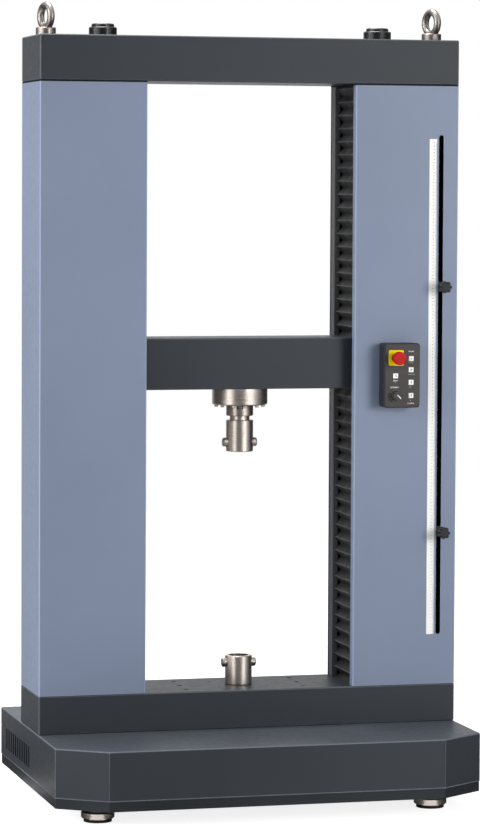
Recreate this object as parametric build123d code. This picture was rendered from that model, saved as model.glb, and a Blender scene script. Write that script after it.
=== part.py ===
"""Floor-standing universal testing machine with two ball screws and a moving crosshead.

Millimetres. The origin is on the floor under the middle of the base, +Z is up, the front faces -Y
and +X is on the right of someone who stands in front of it.
"""
from build123d import *
import os

# Clearances
RUN = 0.05            # radial, shaft in bearing, bush, nut or pin hole
SLIDE = 0.3           # per side, flat parts that slide past each other
END_GAP = 0.2         # along a turning part, between its shoulder and what carries it
SENSE_GAP = 2.0       # limit sensor to the finger of a travel stop

# Loading frame
BASE_STEP = 1.0       # sides of the frame inside the sides of the base
FRAME_Y = 16.0        # middle of the frame, behind the middle of the base
TABLE_H = 115.0
COLUMN_H = 1817.0
BEAM_H = 135.0
PLATE_EDGE = 3.0      # chamfer on the edges of the table, the beam and the crosshead

# Base
BASE_W = 1292.0
BASE_D = 922.0
BAND_H = 31.0
BAND_INSET = 1.5
BAND_T = 4.0
TRAY_FLOOR_T = 6.0
COVER_H = 144.0
SHEET_T = 3.0
COVER_BEND_R = 4.0
CORNER_X = 139.0      # cut front corners of the base
CORNER_Y = 97.0
TABLE_SEAT = 12.0     # width of cover under the edge of the table

# Vent slots in both sides of the base
VENT_COUNT = 11
VENT_PITCH = 34.5
VENT_W = 16.0
VENT_H = 64.0
VENT_FIRST_Y = 22.5
VENT_BOTTOM = 26.0    # above the lower edge of the cover

# Levelling feet
FOOT_IN_X = 138.0     # middle of each foot inside the sides of the base
FOOT_IN_Y = 150.0     # and inside its front and back
FOOT_PAD_R = 41.5
FOOT_PAD_H = 10.0
FOOT_DISC_R = 49.0
FOOT_DISC_H = 20.0
FOOT_COLLAR_R = 42.0
FOOT_COLLAR_H = 20.0
FOOT_STUD_R = 10.0
FOOT_STUD_TOP = 24.0  # above the tray floor
FOOT_STUD_ROOM = 1.0
FOOT_EDGE = 3.0

# Chassis in the base
SILL_W = 110.0
SILL_H = 54.0
SILL_END = 75.0       # ends of the sills inside the front and back of the base
RAIL_W = 46.0
RAIL_H = 54.0
RAIL_END = 12.0       # of the rails past the outer posts
POST_GAP = 3.0        # between the posts and the opening in the cover
POST_W = 46.0
POST_IN = 70.0        # outer posts inside the sides of the frame

# Ball screws
SCREW_R = 25.0
SCREW_JOURNAL_R = 21.0
SCREW_TIP_R = 18.0
SCREW_TIP_H = 18.0    # above the top beam
LOWER_BEARING_R = 50.0
LOWER_BEARING_H = 70.0
UPPER_BEARING_R = 40.0
UPPER_BEARING_H = 48.0
SCREW_PASS = 4.0      # radial room round the screw in plates
CAP_R = 42.0
CAP_H = 28.0
CAP_TOP_R = 34.0
CAP_TOP_H = 10.0
CAP_BORE_R = 24.0
CAP_EDGE = 2.5
NUT_R = 37.0
NUT_H = 120.0
NUT_FLANGE_R = 55.0
NUT_FLANGE_H = 18.0
NUT_ROOM = 33.5       # between the nut's flange and the inner wall of the bellows
NUT_ROOM_BACK = 12.5  # and the back wall of the bellows

# Guide columns
GUIDE_R = 30.0
GUIDE_SEAT = 45.0     # depth of the seats in the table and the beam
BUSH_R = 42.0
BUSH_FLANGE_R = 50.0
BUSH_FLANGE_H = 12.0
FLANGE_GAP = 3.0      # between the flanges of a nut and a bush
BUSH_ROOM = 15.0      # between the bush's flange and the outer wall of the bellows

# Crosshead, at the height in the photograph
CROSSHEAD_BOTTOM = 900.0   # above the table
CROSSHEAD_H = 154.0
CROSSHEAD_SETBACK = 56.0   # behind the front of the columns
CROSSHEAD_END = 45.0       # ends inside the sides of the frame

# Load string on the test axis
CELL_R = 84.0
CELL_H = 50.0
CELL_HUB_R = 46.0
CELL_RIM_W = 22.0
CELL_RECESS = 10.0
CELL_EDGE = 3.0
CELL_SCREWS = 12
CELL_SCREW_R = 4.5
RING_R = 41.0
RING_H = 34.0
RING_HOLES = 6
RING_HOLE_R = 2.5
RING_HOLE_DEPTH = 8.0
RING_HOLE_DROP = 7.5       # of the spanner holes below the top of the ring
RING_TURN = -73.3          # of the first spanner hole, from the right-hand side
RING_SLOT_TURN = 10.4      # of two slots either side of the middle between two holes
RING_SLOT_W = 3.5
RING_SLOT_H = 13.0
RING_SLOT_D = 5.0
RING_EDGE = 2.0
NECK_H = 12.0
STEM_R = 30.0
STEM_SEAT = 30.0
SOCKET_R = 41.0
UPPER_SOCKET_H = 96.0
LOWER_SOCKET_H = 88.0
SOCKET_BORE_R = 30.0
SOCKET_BORE_DEPTH = 62.0
SOCKET_EDGE = 2.0
UPPER_PIN_RISE = 28.0      # of the pin above the lower end of the upper socket
LOWER_PIN_DROP = 22.0      # of the pin below the upper end of the lower socket
PIN_R = 14.0
PIN_L = 106.0
PIN_ROUND = 5.0
STUD_R = 20.0
STUD_L = 60.0

# Bolt holes in the table
TABLE_HOLE_X = 183.0
TABLE_HOLE_Y = 80.0
TABLE_HOLE_R = 8.75
TABLE_HOLE_DEPTH = 50.0
SMALL_HOLE_X = 76.0
SMALL_HOLE_Y = 56.0
SMALL_HOLE_R = 4.25
SMALL_HOLE_DEPTH = 25.0

# Covers of the columns
COVER_T = 3.0
COLUMN_BEND_R = 4.0
FRONT_RETURN = 27.0   # depth of the front cover's folded inner edge
FRONT_HEM = 24.0
REAR_RETURN = 17.0
REAR_LIP = 20.0
STRIP_W = 35.0        # bellows rail, front to back
STRIP_D = 16.0
STRIP_T = 2.0

# Bellows
BELLOWS_INSET = 1.5   # behind the inner face of the column
BELLOWS_FRONT = 2.0   # behind the fingers of the travel stops
BELLOWS_REAR = 0.5    # in front of the bellows rail
BELLOWS_OUT = 29.0    # inside the outer face of the column
BELLOWS_WALL = 16.0

# Ruler, slot and travel stops on the right column
RULER_IN = 80.0       # middle of the ruler from the side of the frame
RULER_W = 23.0
RULER_T = 1.5
RULER_BOTTOM = 152.0  # above the table
RULER_TOP = 163.0     # below the top beam
SLOT_IN = 54.2        # middle of the slot from the side of the frame
SLOT_W = 15.5
SLOT_BOTTOM = 151.0   # above the table
SLOT_TOP = 151.0      # below the top beam
STOP_RAIL_W = 36.0
STOP_RAIL_D = 20.0
STOP_RAIL_T = 2.5
STOP_RAIL_EXTRA = 10.0
STOP_H = 30.0
STOP_D = 10.0
STOP_FINGER_W = 8.0
STOP_FINGER_L = 4.0   # of the finger behind the stop rail
UPPER_STOP_DROP = 458.0    # below the top of the slot
LOWER_STOP_RISE = 314.0    # above the bottom of the slot
SENSOR_H = 40.0
SENSOR_W = 24.0
KNOB_R = 18.5
KNOB_H = 17.0
KNOB_LOBES = 7
KNOB_LOBE_R = 5.5
KNOB_EDGE = 2.0
KNOB_HUB_R = 9.5
KNOB_HUB_H = 10.0
KNOB_REACH = 60.0     # front of the knob, ahead of the column
KNOB_STEM_R = 5.0
KNOB_THREAD_L = 8.0

# Eyebolts
EYE_IN = 45.0         # inside the sides of the frame
EYE_RING_R = 33.0
EYE_BAR_R = 11.0
EYE_COLLAR_R = 30.0
EYE_COLLAR_H = 24.5
EYE_CENTRE = 57.0     # above the beam
EYE_SHANK_R = 12.0
EYE_SHANK_L = 40.0
EYE_TURN = 16.0       # of each ring, away from front to back
EYE_EDGE = 2.0

# Control box on the right column
BOX_IN = 132.0        # middle of the box from the inner side of the column
BOX_W = 112.0
BOX_H = 193.5
BOX_D = 60.0
BOX_BOTTOM = 846.5    # above the table
BOX_CORNER_R = 9.0
BOX_EDGE_R = 4.0
BOX_WALL = 3.0
BOX_BACK_T = 8.0
BOX_BACK_INSET = 4.0
STOP_PLATE = 46.5
STOP_PLATE_T = 2.0
STOP_PLATE_CORNER_R = 4.0
STOP_PLATE_X = -19.7  # stop button from the middle of the box
STOP_PLATE_Z = 150.0  # controls above the lower edge of the box
STOP_COLLAR_R = 14.5
STOP_COLLAR_H = 23.0
STOP_STEM_R = 8.0
STOP_STEM_BACK = 10.0
STOP_HEAD_R = 20.0
STOP_HEAD_H = 15.0
STOP_HEAD_ROUND = 4.0
STOP_TRAVEL = 4.0
BUTTON_W = 15.0
BUTTON_PROUD = 3.0
BUTTON_BACK = 8.0
BUTTON_EDGE = 1.5
BUTTON_LIP = 1.5
BUTTON_LIP_T = 2.0
RIGHT_BUTTONS_X = 27.7
RIGHT_BUTTONS_Z = (147.5, 114.0, 76.0, 36.5)
LEFT_BUTTON_X = -20.9
LEFT_BUTTON_Z = 96.0
DIAL_X = -19.4
DIAL_Z = 36.7
DIAL_R = 14.0
DIAL_H = 24.0
DIAL_SHAFT_R = 3.0
DIAL_SHAFT_L = 12.0
DIAL_POINTER_W = 3.0
DIAL_POINTER_H = 1.5
DIAL_POINTER_TAIL = 5.0  # of the pointer past the middle of the dial
DIAL_EDGE = 1.0
DIAL_REST = 135.0  # where the pointer stands at rest

# Drive in the base
SCREW_PULLEY_R = 55.0
DRIVE_PULLEY_R = 35.0
PULLEY_H = 34.0
PULLEY_FLANGE = 4.0
PULLEY_FLANGE_T = 2.0
PULLEY_DROP = 8.0     # top of the pulleys below the table
BELT_T = 5.0
BELT_SIDE = 1.0       # belt edge to pulley flange
DRIVE_Y = 215.0       # drive pulley behind the middle of the frame
DRIVE_SHAFT_R = 15.0
DRIVE_SHAFT_L = 52.0
MOTOR_PLATE_T = 10.0
MOTOR_PLATE_W = 190.0
MOTOR_PLATE_END = 75.0
GEARBOX_W = 110.0
GEARBOX_H = 104.0
GEARBOX_FLANGE_T = 12.0
MOTOR_W = 100.0
MOTOR_L = 230.0
MOTOR_CORNER_R = 12.0
MOTOR_CAP_L = 40.0
MOTOR_CAP_STEP = 6.0
MOTOR_FLANGE_T = 12.0
SERVO_GAP = 28.0      # between the servo drive and the left sill
SERVO_BACK = 66.0     # between the servo drive and the back of the base
SERVO_W = 190.0
SERVO_D = 130.0
SERVO_H = 140.0
SERVO_FINS = 9
SERVO_FIN_T = 4.0
SERVO_FIN_D = 22.0

# Rear connection panel
PANEL_W = 240.0
PANEL_H = 90.0
PANEL_T = 3.0
PANEL_X = 300.0
PANEL_BOTTOM = 29.0   # above the lower edge of the cover
PANEL_LAP = 10.0
ENTRY_W = 92.0        # power entry module with the inlet and the switch
ENTRY_H = 40.0
ENTRY_D = 30.0
ENTRY_WALL = 3.0
ENTRY_LIP = 5.0
INLET_X = -20.0       # from the middle of the module
INLET_W = 38.0
INLET_H = 24.0
INLET_PIN_W = 6.0
INLET_PIN_T = 2.0
INLET_PIN_L = 16.0
INLET_PIN_PITCH = 11.0
SWITCH_X = 26.0       # from the middle of the module
SWITCH_W = 22.0
SWITCH_H = 30.0
SWITCH_PROUD = 2.5
SWITCH_DISH = 3.0     # hollow in the middle of the rocker
SWITCH_SWING = 2.0    # room at each end of the rocker
SWITCH_TILT = 8.0     # of the rocker, each way
SWITCH_AXLE_R = 3.0
SWITCH_WELL = 16.0    # depth of the well behind the rocker

# Heights and planes that follow
TRAY_BOTTOM = FOOT_PAD_H + FOOT_DISC_H + FOOT_COLLAR_H
TRAY_FLOOR = TRAY_BOTTOM + TRAY_FLOOR_T
COVER_BOTTOM = TRAY_BOTTOM + BAND_H
TABLE_BOTTOM = COVER_BOTTOM + COVER_H
TABLE_TOP = TABLE_BOTTOM + TABLE_H
BEAM_BOTTOM = TABLE_TOP + COLUMN_H
BEAM_TOP = BEAM_BOTTOM + BEAM_H
FRAME_W = BASE_W - 2 * BASE_STEP
FRAME_D = 2 * (NUT_FLANGE_R + NUT_ROOM_BACK + BELLOWS_WALL + BELLOWS_REAR + STRIP_W + REAR_RETURN)
FRONT = FRAME_Y - FRAME_D / 2
BACK = FRAME_Y + FRAME_D / 2
SIDE = FRAME_W / 2
GUIDE_X = SIDE - BELLOWS_OUT - BELLOWS_WALL - BUSH_ROOM - BUSH_FLANGE_R
SCREW_X = GUIDE_X - BUSH_FLANGE_R - FLANGE_GAP - NUT_FLANGE_R
COLUMN_IN = SCREW_X - NUT_FLANGE_R - NUT_ROOM - BELLOWS_WALL - BELLOWS_INSET
FOOT_X = BASE_W / 2 - FOOT_IN_X
FOOT_Y = BASE_D / 2 - FOOT_IN_Y
POST_X = SIDE - POST_IN
EYE_X = SIDE - EYE_IN
RULER_X = SIDE - RULER_IN
RULER_L = COLUMN_H - RULER_BOTTOM - RULER_TOP
SLOT_X = SIDE - SLOT_IN
SLOT_L = COLUMN_H - SLOT_BOTTOM - SLOT_TOP
SLOT_Z = TABLE_TOP + SLOT_BOTTOM
BOX_X = COLUMN_IN + BOX_IN
CROSSHEAD_D = FRAME_D - 2 * CROSSHEAD_SETBACK
CROSSHEAD_L = FRAME_W - 2 * CROSSHEAD_END
CROSS_Z = TABLE_TOP + CROSSHEAD_BOTTOM
CROSS_TOP = CROSS_Z + CROSSHEAD_H
CROSS_FRONT = FRAME_Y - CROSSHEAD_D / 2
CELL_Z = CROSS_Z - CELL_H
RING_TOP = CELL_Z - END_GAP
RING_BOTTOM = RING_TOP - RING_H
SOCKET_TOP = RING_BOTTOM - NECK_H
SOCKET_Z = SOCKET_TOP - UPPER_SOCKET_H
UPPER_PIN_Z = SOCKET_Z + UPPER_PIN_RISE
LOWER_PIN_Z = TABLE_TOP + LOWER_SOCKET_H - LOWER_PIN_DROP
PULLEY_TOP = TABLE_BOTTOM - PULLEY_DROP
PULLEY_Z = PULLEY_TOP - PULLEY_H
PULLEY_AXIS_Y = FRAME_Y + DRIVE_Y
PLATE_TOP = PULLEY_Z - END_GAP
RAIL_Z = TRAY_FLOOR + SILL_H
RAIL_TOP = RAIL_Z + RAIL_H
OPENING_X = SIDE - TABLE_SEAT
OPENING_Y = FRAME_D / 2 - TABLE_SEAT
RAIL_OFFSET = OPENING_Y - POST_GAP - RAIL_W / 2
STRIP_BACK = BACK - REAR_RETURN
STRIP_FRONT = STRIP_BACK - STRIP_W
SKIN_BACK = FRONT + COVER_T
FINGER_TIP = SKIN_BACK + STOP_RAIL_D + STOP_FINGER_L
BELLOWS_Y0 = FINGER_TIP + BELLOWS_FRONT
BELLOWS_Y1 = STRIP_FRONT - BELLOWS_REAR
BOX_Z = TABLE_TOP + BOX_BOTTOM
BOX_FRONT = FRONT - BOX_D
REAR = BASE_D / 2
SERVO_X = SERVO_GAP + (SERVO_W + SILL_W) / 2 - FOOT_X
SERVO_Y = REAR - SERVO_BACK - SERVO_D / 2


def block(x0, x1, y0, y1, z0, z1):
    """A box between two opposite corners."""
    middle = Pos((x0 + x1) / 2, (y0 + y1) / 2, (z0 + z1) / 2)
    return middle * Box(x1 - x0, y1 - y0, z1 - z0)


def upright(x, y, z0, z1, radius):
    """A round bar that stands from z0 to z1."""
    return Pos(x, y, (z0 + z1) / 2) * Cylinder(radius, z1 - z0)


def across(x0, x1, y, z, radius):
    """A round bar that lies from x0 to x1."""
    return Pos((x0 + x1) / 2, y, z) * Rot(0, 90, 0) * Cylinder(radius, x1 - x0)


def inward(x, y0, y1, z, radius):
    """A round bar that runs front to back from y0 to y1."""
    return Pos(x, (y0 + y1) / 2, z) * Rot(90, 0, 0) * Cylinder(radius, y1 - y0)


def turned(points, x, y):
    """A body of revolution about a vertical axis, from (radius, height) points."""
    profile = make_face(Polyline(*[(radius, 0, z) for radius, z in points], close=True))
    return Pos(x, y, 0) * revolve(profile, Axis.Z)


def folded(points, thickness, z0, z1):
    """An upright sheet folded along plan points, with its thickness to the left of the path."""
    path = Polyline(*[(x, y, 0) for x, y in points])
    plan = make_face(offset(path, amount=thickness, side=Side.LEFT, kind=Kind.INTERSECTION))
    return Pos(0, 0, z0) * extrude(plan, z1 - z0, dir=(0, 0, 1))


def flip(shape):
    """The same piece on the other side of the machine."""
    return mirror(shape, about=Plane.YZ)


def save(node, *solids):
    """Write the solids of one node."""
    shape = solids[0] if len(solids) == 1 else Compound(children=list(solids))
    export_step(shape, f"parts/{node}.step")


def corners(x, y):
    """The four points that lie this far from a middle point on each side."""
    return [(side * x, end * y) for side in (-1, 1) for end in (-1, 1)]


def base_plan(inset):
    """Plan of the base with its front corners cut off, this far inside the true edge."""
    x = BASE_W / 2
    points = [(-x, REAR), (-x, CORNER_Y - REAR), (CORNER_X - x, -REAR)]
    outline = points + [(-px, py) for px, py in reversed(points)]
    plan = make_face(Polyline(*outline, close=True))
    if inset == 0:
        return plan
    return offset(plan, amount=-inset, kind=Kind.INTERSECTION)


def rise(plan, z0, z1):
    """A plan drawn at the floor, raised to fill z0 to z1."""
    return Pos(0, 0, z0) * extrude(plan, z1 - z0, dir=(0, 0, 1))


def base():
    """Tray, cover and the chassis that carries the table."""
    tray = rise(base_plan(BAND_INSET), TRAY_BOTTOM, COVER_BOTTOM)
    tray -= rise(base_plan(BAND_INSET + BAND_T), TRAY_FLOOR, COVER_BOTTOM)
    for x, y in corners(FOOT_X, FOOT_Y):
        tray -= upright(x, y, TRAY_BOTTOM, TRAY_FLOOR, FOOT_STUD_R + RUN)
    save("base_tray", tray)

    cover = rise(base_plan(0), COVER_BOTTOM, TABLE_BOTTOM)
    cover = fillet(cover.edges().group_by(Axis.Z)[-1], COVER_BEND_R)
    cover -= rise(base_plan(SHEET_T), COVER_BOTTOM, TABLE_BOTTOM - SHEET_T)
    cover -= block(-OPENING_X, OPENING_X, FRAME_Y - OPENING_Y, FRAME_Y + OPENING_Y,
                   TABLE_BOTTOM - 2 * SHEET_T, TABLE_BOTTOM)
    vent_z = COVER_BOTTOM + VENT_BOTTOM
    for number in range(VENT_COUNT):
        vent_y = VENT_FIRST_Y + number * VENT_PITCH
        cover -= block(-BASE_W, BASE_W, vent_y - VENT_W / 2, vent_y + VENT_W / 2,
                       vent_z, vent_z + VENT_H)
    panel_z = COVER_BOTTOM + PANEL_BOTTOM
    cover -= block(PANEL_X - PANEL_W / 2 + PANEL_LAP, PANEL_X + PANEL_W / 2 - PANEL_LAP,
                   REAR - 2 * SHEET_T, REAR, panel_z + PANEL_LAP, panel_z + PANEL_H - PANEL_LAP)
    save("base_cover", cover)

    chassis = None
    for side in (-1, 1):
        sill_x = side * FOOT_X
        sill = block(sill_x - SILL_W / 2, sill_x + SILL_W / 2, SILL_END - REAR, REAR - SILL_END,
                     TRAY_FLOOR, RAIL_Z)
        chassis = sill if chassis is None else chassis + sill
    rail_x = POST_X + POST_W / 2 + RAIL_END
    for y in (FRAME_Y - RAIL_OFFSET, FRAME_Y + RAIL_OFFSET):
        chassis += block(-rail_x, rail_x, y - RAIL_W / 2, y + RAIL_W / 2, RAIL_Z, RAIL_TOP)
        for x in (-POST_X, 0, POST_X):
            chassis += block(x - POST_W / 2, x + POST_W / 2, y - RAIL_W / 2, y + RAIL_W / 2,
                             RAIL_TOP, TABLE_BOTTOM)
    for x, y in corners(FOOT_X, FOOT_Y):
        chassis -= upright(x, y, TRAY_FLOOR, TRAY_FLOOR + FOOT_STUD_TOP + FOOT_STUD_ROOM, FOOT_STUD_R + RUN)
    save("chassis", chassis)


def feet():
    """Four levelling feet: rubber pad, steel disc with its stud, black collar."""
    pads = []
    discs = []
    collars = []
    disc_top = FOOT_PAD_H + FOOT_DISC_H
    for x, y in corners(FOOT_X, FOOT_Y):
        pads.append(upright(x, y, 0, FOOT_PAD_H, FOOT_PAD_R))
        discs.append(turned([
            (0, FOOT_PAD_H),
            (FOOT_DISC_R - FOOT_EDGE, FOOT_PAD_H),
            (FOOT_DISC_R, FOOT_PAD_H + FOOT_EDGE),
            (FOOT_DISC_R, disc_top - FOOT_EDGE),
            (FOOT_DISC_R - FOOT_EDGE, disc_top),
            (FOOT_STUD_R, disc_top),
            (FOOT_STUD_R, TRAY_FLOOR + FOOT_STUD_TOP),
            (0, TRAY_FLOOR + FOOT_STUD_TOP)], x, y))
        collar = upright(x, y, disc_top, TRAY_BOTTOM, FOOT_COLLAR_R)
        collars.append(collar - upright(x, y, disc_top, TRAY_BOTTOM, FOOT_STUD_R + RUN))
    save("foot_pads", *pads)
    save("foot_discs", *discs)
    save("foot_collars", *collars)


def plate(length, depth, z0, z1):
    """A thick plate of the frame with chamfered edges."""
    return chamfer(block(-length / 2, length / 2, FRAME_Y - depth / 2, FRAME_Y + depth / 2, z0, z1).edges(),
                   PLATE_EDGE)


def table_and_beam():
    """The two fixed plates, with seats for the screws, the guides and the fittings."""
    table = plate(FRAME_W, FRAME_D, TABLE_BOTTOM, TABLE_TOP)
    beam = plate(FRAME_W, FRAME_D, BEAM_BOTTOM, BEAM_TOP)
    for side in (-1, 1):
        x = side * SCREW_X
        table -= upright(x, FRAME_Y, TABLE_BOTTOM, TABLE_BOTTOM + LOWER_BEARING_H, LOWER_BEARING_R + RUN)
        table -= upright(x, FRAME_Y, TABLE_BOTTOM, TABLE_TOP, SCREW_R + SCREW_PASS)
        beam -= upright(x, FRAME_Y, BEAM_TOP - UPPER_BEARING_H, BEAM_TOP, UPPER_BEARING_R + RUN)
        beam -= upright(x, FRAME_Y, BEAM_BOTTOM, BEAM_TOP, SCREW_R + SCREW_PASS)
        x = side * GUIDE_X
        table -= upright(x, FRAME_Y, TABLE_TOP - GUIDE_SEAT, TABLE_TOP, GUIDE_R + RUN)
        beam -= upright(x, FRAME_Y, BEAM_BOTTOM, BEAM_BOTTOM + GUIDE_SEAT, GUIDE_R + RUN)
        x = side * EYE_X
        beam -= upright(x, FRAME_Y, BEAM_TOP - EYE_SHANK_L, BEAM_TOP, EYE_SHANK_R + RUN)
        x = side * TABLE_HOLE_X
        table -= upright(x, FRAME_Y, TABLE_TOP - TABLE_HOLE_DEPTH, TABLE_TOP, TABLE_HOLE_R)
    for x, y in corners(TABLE_HOLE_X, TABLE_HOLE_Y):
        table -= upright(x, FRAME_Y + y, TABLE_TOP - TABLE_HOLE_DEPTH, TABLE_TOP, TABLE_HOLE_R)
    for x, y in corners(SMALL_HOLE_X, SMALL_HOLE_Y):
        table -= upright(x, FRAME_Y + y, TABLE_TOP - SMALL_HOLE_DEPTH, TABLE_TOP, SMALL_HOLE_R)
    table -= upright(0, FRAME_Y, TABLE_TOP - STUD_L, TABLE_TOP, STUD_R + RUN)
    save("table", table)
    save("top_beam", beam)


def screw(x):
    """A ball screw: lower journal for the pulley and bearing, thread, upper journal."""
    shoulder = TABLE_BOTTOM + LOWER_BEARING_H + END_GAP
    thread_top = BEAM_TOP - UPPER_BEARING_H - END_GAP
    return turned([
        (0, PULLEY_Z),
        (SCREW_JOURNAL_R, PULLEY_Z),
        (SCREW_JOURNAL_R, shoulder),
        (SCREW_R, shoulder),
        (SCREW_R, thread_top),
        (SCREW_TIP_R, thread_top),
        (SCREW_TIP_R, BEAM_TOP + SCREW_TIP_H),
        (0, BEAM_TOP + SCREW_TIP_H)], x, FRAME_Y)


def bearing(x, z0, z1, radius, bore):
    """A bearing unit that fills its seat in a plate."""
    return upright(x, FRAME_Y, z0, z1, radius) - upright(x, FRAME_Y, z0, z1, bore + RUN)


def screw_cap(x):
    """The black cap over the end of a screw, stepped and hollow."""
    top = BEAM_TOP + CAP_H + CAP_TOP_H
    hollow = BEAM_TOP + SCREW_TIP_H + 2 * RUN
    return turned([
        (CAP_BORE_R, BEAM_TOP),
        (CAP_R, BEAM_TOP),
        (CAP_R, BEAM_TOP + CAP_H - CAP_EDGE),
        (CAP_R - CAP_EDGE, BEAM_TOP + CAP_H),
        (CAP_TOP_R, BEAM_TOP + CAP_H),
        (CAP_TOP_R, top - CAP_EDGE),
        (CAP_TOP_R - CAP_EDGE, top),
        (0, top),
        (0, hollow),
        (CAP_BORE_R, hollow)], x, FRAME_Y)


def pulley(x, y, radius, bore):
    """A flanged belt pulley."""
    wide = radius + PULLEY_FLANGE
    low = PULLEY_Z + PULLEY_FLANGE_T
    high = PULLEY_TOP - PULLEY_FLANGE_T
    return turned([
        (bore, PULLEY_Z), (wide, PULLEY_Z), (wide, low), (radius, low),
        (radius, high), (wide, high), (wide, PULLEY_TOP), (bore, PULLEY_TOP)], x, y)


def screws():
    """Screws with their pulleys, bearings and caps, and the guide columns."""
    bearings = []
    caps = []
    guides = []
    for side, name in ((-1, "left"), (1, "right")):
        x = side * SCREW_X
        save(f"{name}_screw", screw(x))
        save(f"{name}_screw_pulley", pulley(x, FRAME_Y, SCREW_PULLEY_R, SCREW_JOURNAL_R))
        bearings.append(bearing(x, TABLE_BOTTOM, TABLE_BOTTOM + LOWER_BEARING_H,
                                LOWER_BEARING_R, SCREW_JOURNAL_R))
        bearings.append(bearing(x, BEAM_TOP - UPPER_BEARING_H, BEAM_TOP, UPPER_BEARING_R, SCREW_TIP_R))
        caps.append(screw_cap(x))
        guides.append(upright(side * GUIDE_X, FRAME_Y, TABLE_TOP - GUIDE_SEAT, BEAM_BOTTOM + GUIDE_SEAT,
                              GUIDE_R))
    save("screw_bearings", *bearings)
    save("screw_caps", *caps)
    save("guide_columns", *guides)


def crosshead():
    """The moving plate with its nuts, bushes and limit sensor."""
    beam = plate(CROSSHEAD_L, CROSSHEAD_D, CROSS_Z, CROSS_TOP)
    nuts = []
    bushes = []
    nut_top = CROSS_Z + NUT_H
    for side in (-1, 1):
        x = side * SCREW_X
        beam -= upright(x, FRAME_Y, CROSS_Z, nut_top, NUT_R + RUN)
        beam -= upright(x, FRAME_Y, CROSS_Z, CROSS_TOP, SCREW_R + SCREW_PASS)
        nut = turned([
            (SCREW_R + RUN, CROSS_Z - NUT_FLANGE_H), (NUT_FLANGE_R, CROSS_Z - NUT_FLANGE_H),
            (NUT_FLANGE_R, CROSS_Z), (NUT_R, CROSS_Z), (NUT_R, nut_top), (SCREW_R + RUN, nut_top)],
            x, FRAME_Y)
        nuts.append(nut)
        x = side * GUIDE_X
        beam -= upright(x, FRAME_Y, CROSS_Z, CROSS_TOP, BUSH_R + RUN)
        bush = turned([
            (GUIDE_R + RUN, CROSS_Z - BUSH_FLANGE_H), (BUSH_FLANGE_R, CROSS_Z - BUSH_FLANGE_H),
            (BUSH_FLANGE_R, CROSS_Z), (BUSH_R, CROSS_Z), (BUSH_R, CROSS_TOP), (GUIDE_R + RUN, CROSS_TOP)],
            x, FRAME_Y)
        bushes.append(bush)
    save("crosshead", beam)
    save("ball_nuts", *nuts)
    save("guide_bushes", *bushes)
    middle = (CROSS_Z + CROSS_TOP) / 2
    save("limit_sensor", block(SLOT_X - SENSOR_W / 2, SLOT_X + SENSOR_W / 2, FINGER_TIP + SENSE_GAP,
                               CROSS_FRONT, middle - SENSOR_H / 2, middle + SENSOR_H / 2))


def load_cell():
    """A round load cell: rim with its screws, recess and hub."""
    inner = CELL_R - CELL_RIM_W
    cell = turned([
        (STEM_R + RUN, CELL_Z), (CELL_HUB_R, CELL_Z), (CELL_HUB_R, CELL_Z + CELL_RECESS),
        (inner, CELL_Z + CELL_RECESS), (inner, CELL_Z), (CELL_R - CELL_EDGE, CELL_Z),
        (CELL_R, CELL_Z + CELL_EDGE), (CELL_R, CROSS_Z), (0, CROSS_Z),
        (0, CELL_Z + STEM_SEAT), (STEM_R + RUN, CELL_Z + STEM_SEAT)], 0, FRAME_Y)
    circle = CELL_R - CELL_RIM_W / 2
    hole = Pos(0, FRAME_Y, CELL_Z + CELL_RECESS / 2) * PolarLocations(circle, CELL_SCREWS)
    for place in hole:
        cell -= place * Cylinder(CELL_SCREW_R, CELL_RECESS)
    save("load_cell", cell)


def lock_ring():
    """The ring nut that locks the coupling, with holes for a pin spanner and slots between them."""
    bore = STEM_R + RUN
    ring = turned([
        (bore, RING_BOTTOM), (RING_R - RING_EDGE, RING_BOTTOM), (RING_R, RING_BOTTOM + RING_EDGE),
        (RING_R, RING_TOP - RING_EDGE), (RING_R - RING_EDGE, RING_TOP), (bore, RING_TOP)], 0, FRAME_Y)
    drill = across(RING_R - RING_HOLE_DEPTH, RING_R + RING_HOLE_DEPTH, 0, -RING_HOLE_DROP, RING_HOLE_R)
    notch = block(RING_R - RING_SLOT_D, RING_R + RING_SLOT_D, -RING_SLOT_W / 2, RING_SLOT_W / 2,
                  -RING_SLOT_H, 0)
    pitch = 360 / RING_HOLES
    for number in range(RING_HOLES):
        turn = RING_TURN + number * pitch
        ring -= Pos(0, FRAME_Y, RING_TOP) * Rot(0, 0, turn) * drill
        for side in (-1, 1):
            place = Rot(0, 0, turn + pitch / 2 + side * RING_SLOT_TURN)
            ring -= Pos(0, FRAME_Y, RING_TOP) * place * notch
    save("lock_ring", ring)


def pin(z):
    """A plain cross pin with rounded ends."""
    bar = across(-PIN_L / 2, PIN_L / 2, FRAME_Y, z, PIN_R)
    return fillet(bar.edges().filter_by(GeomType.CIRCLE), PIN_ROUND)


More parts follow.
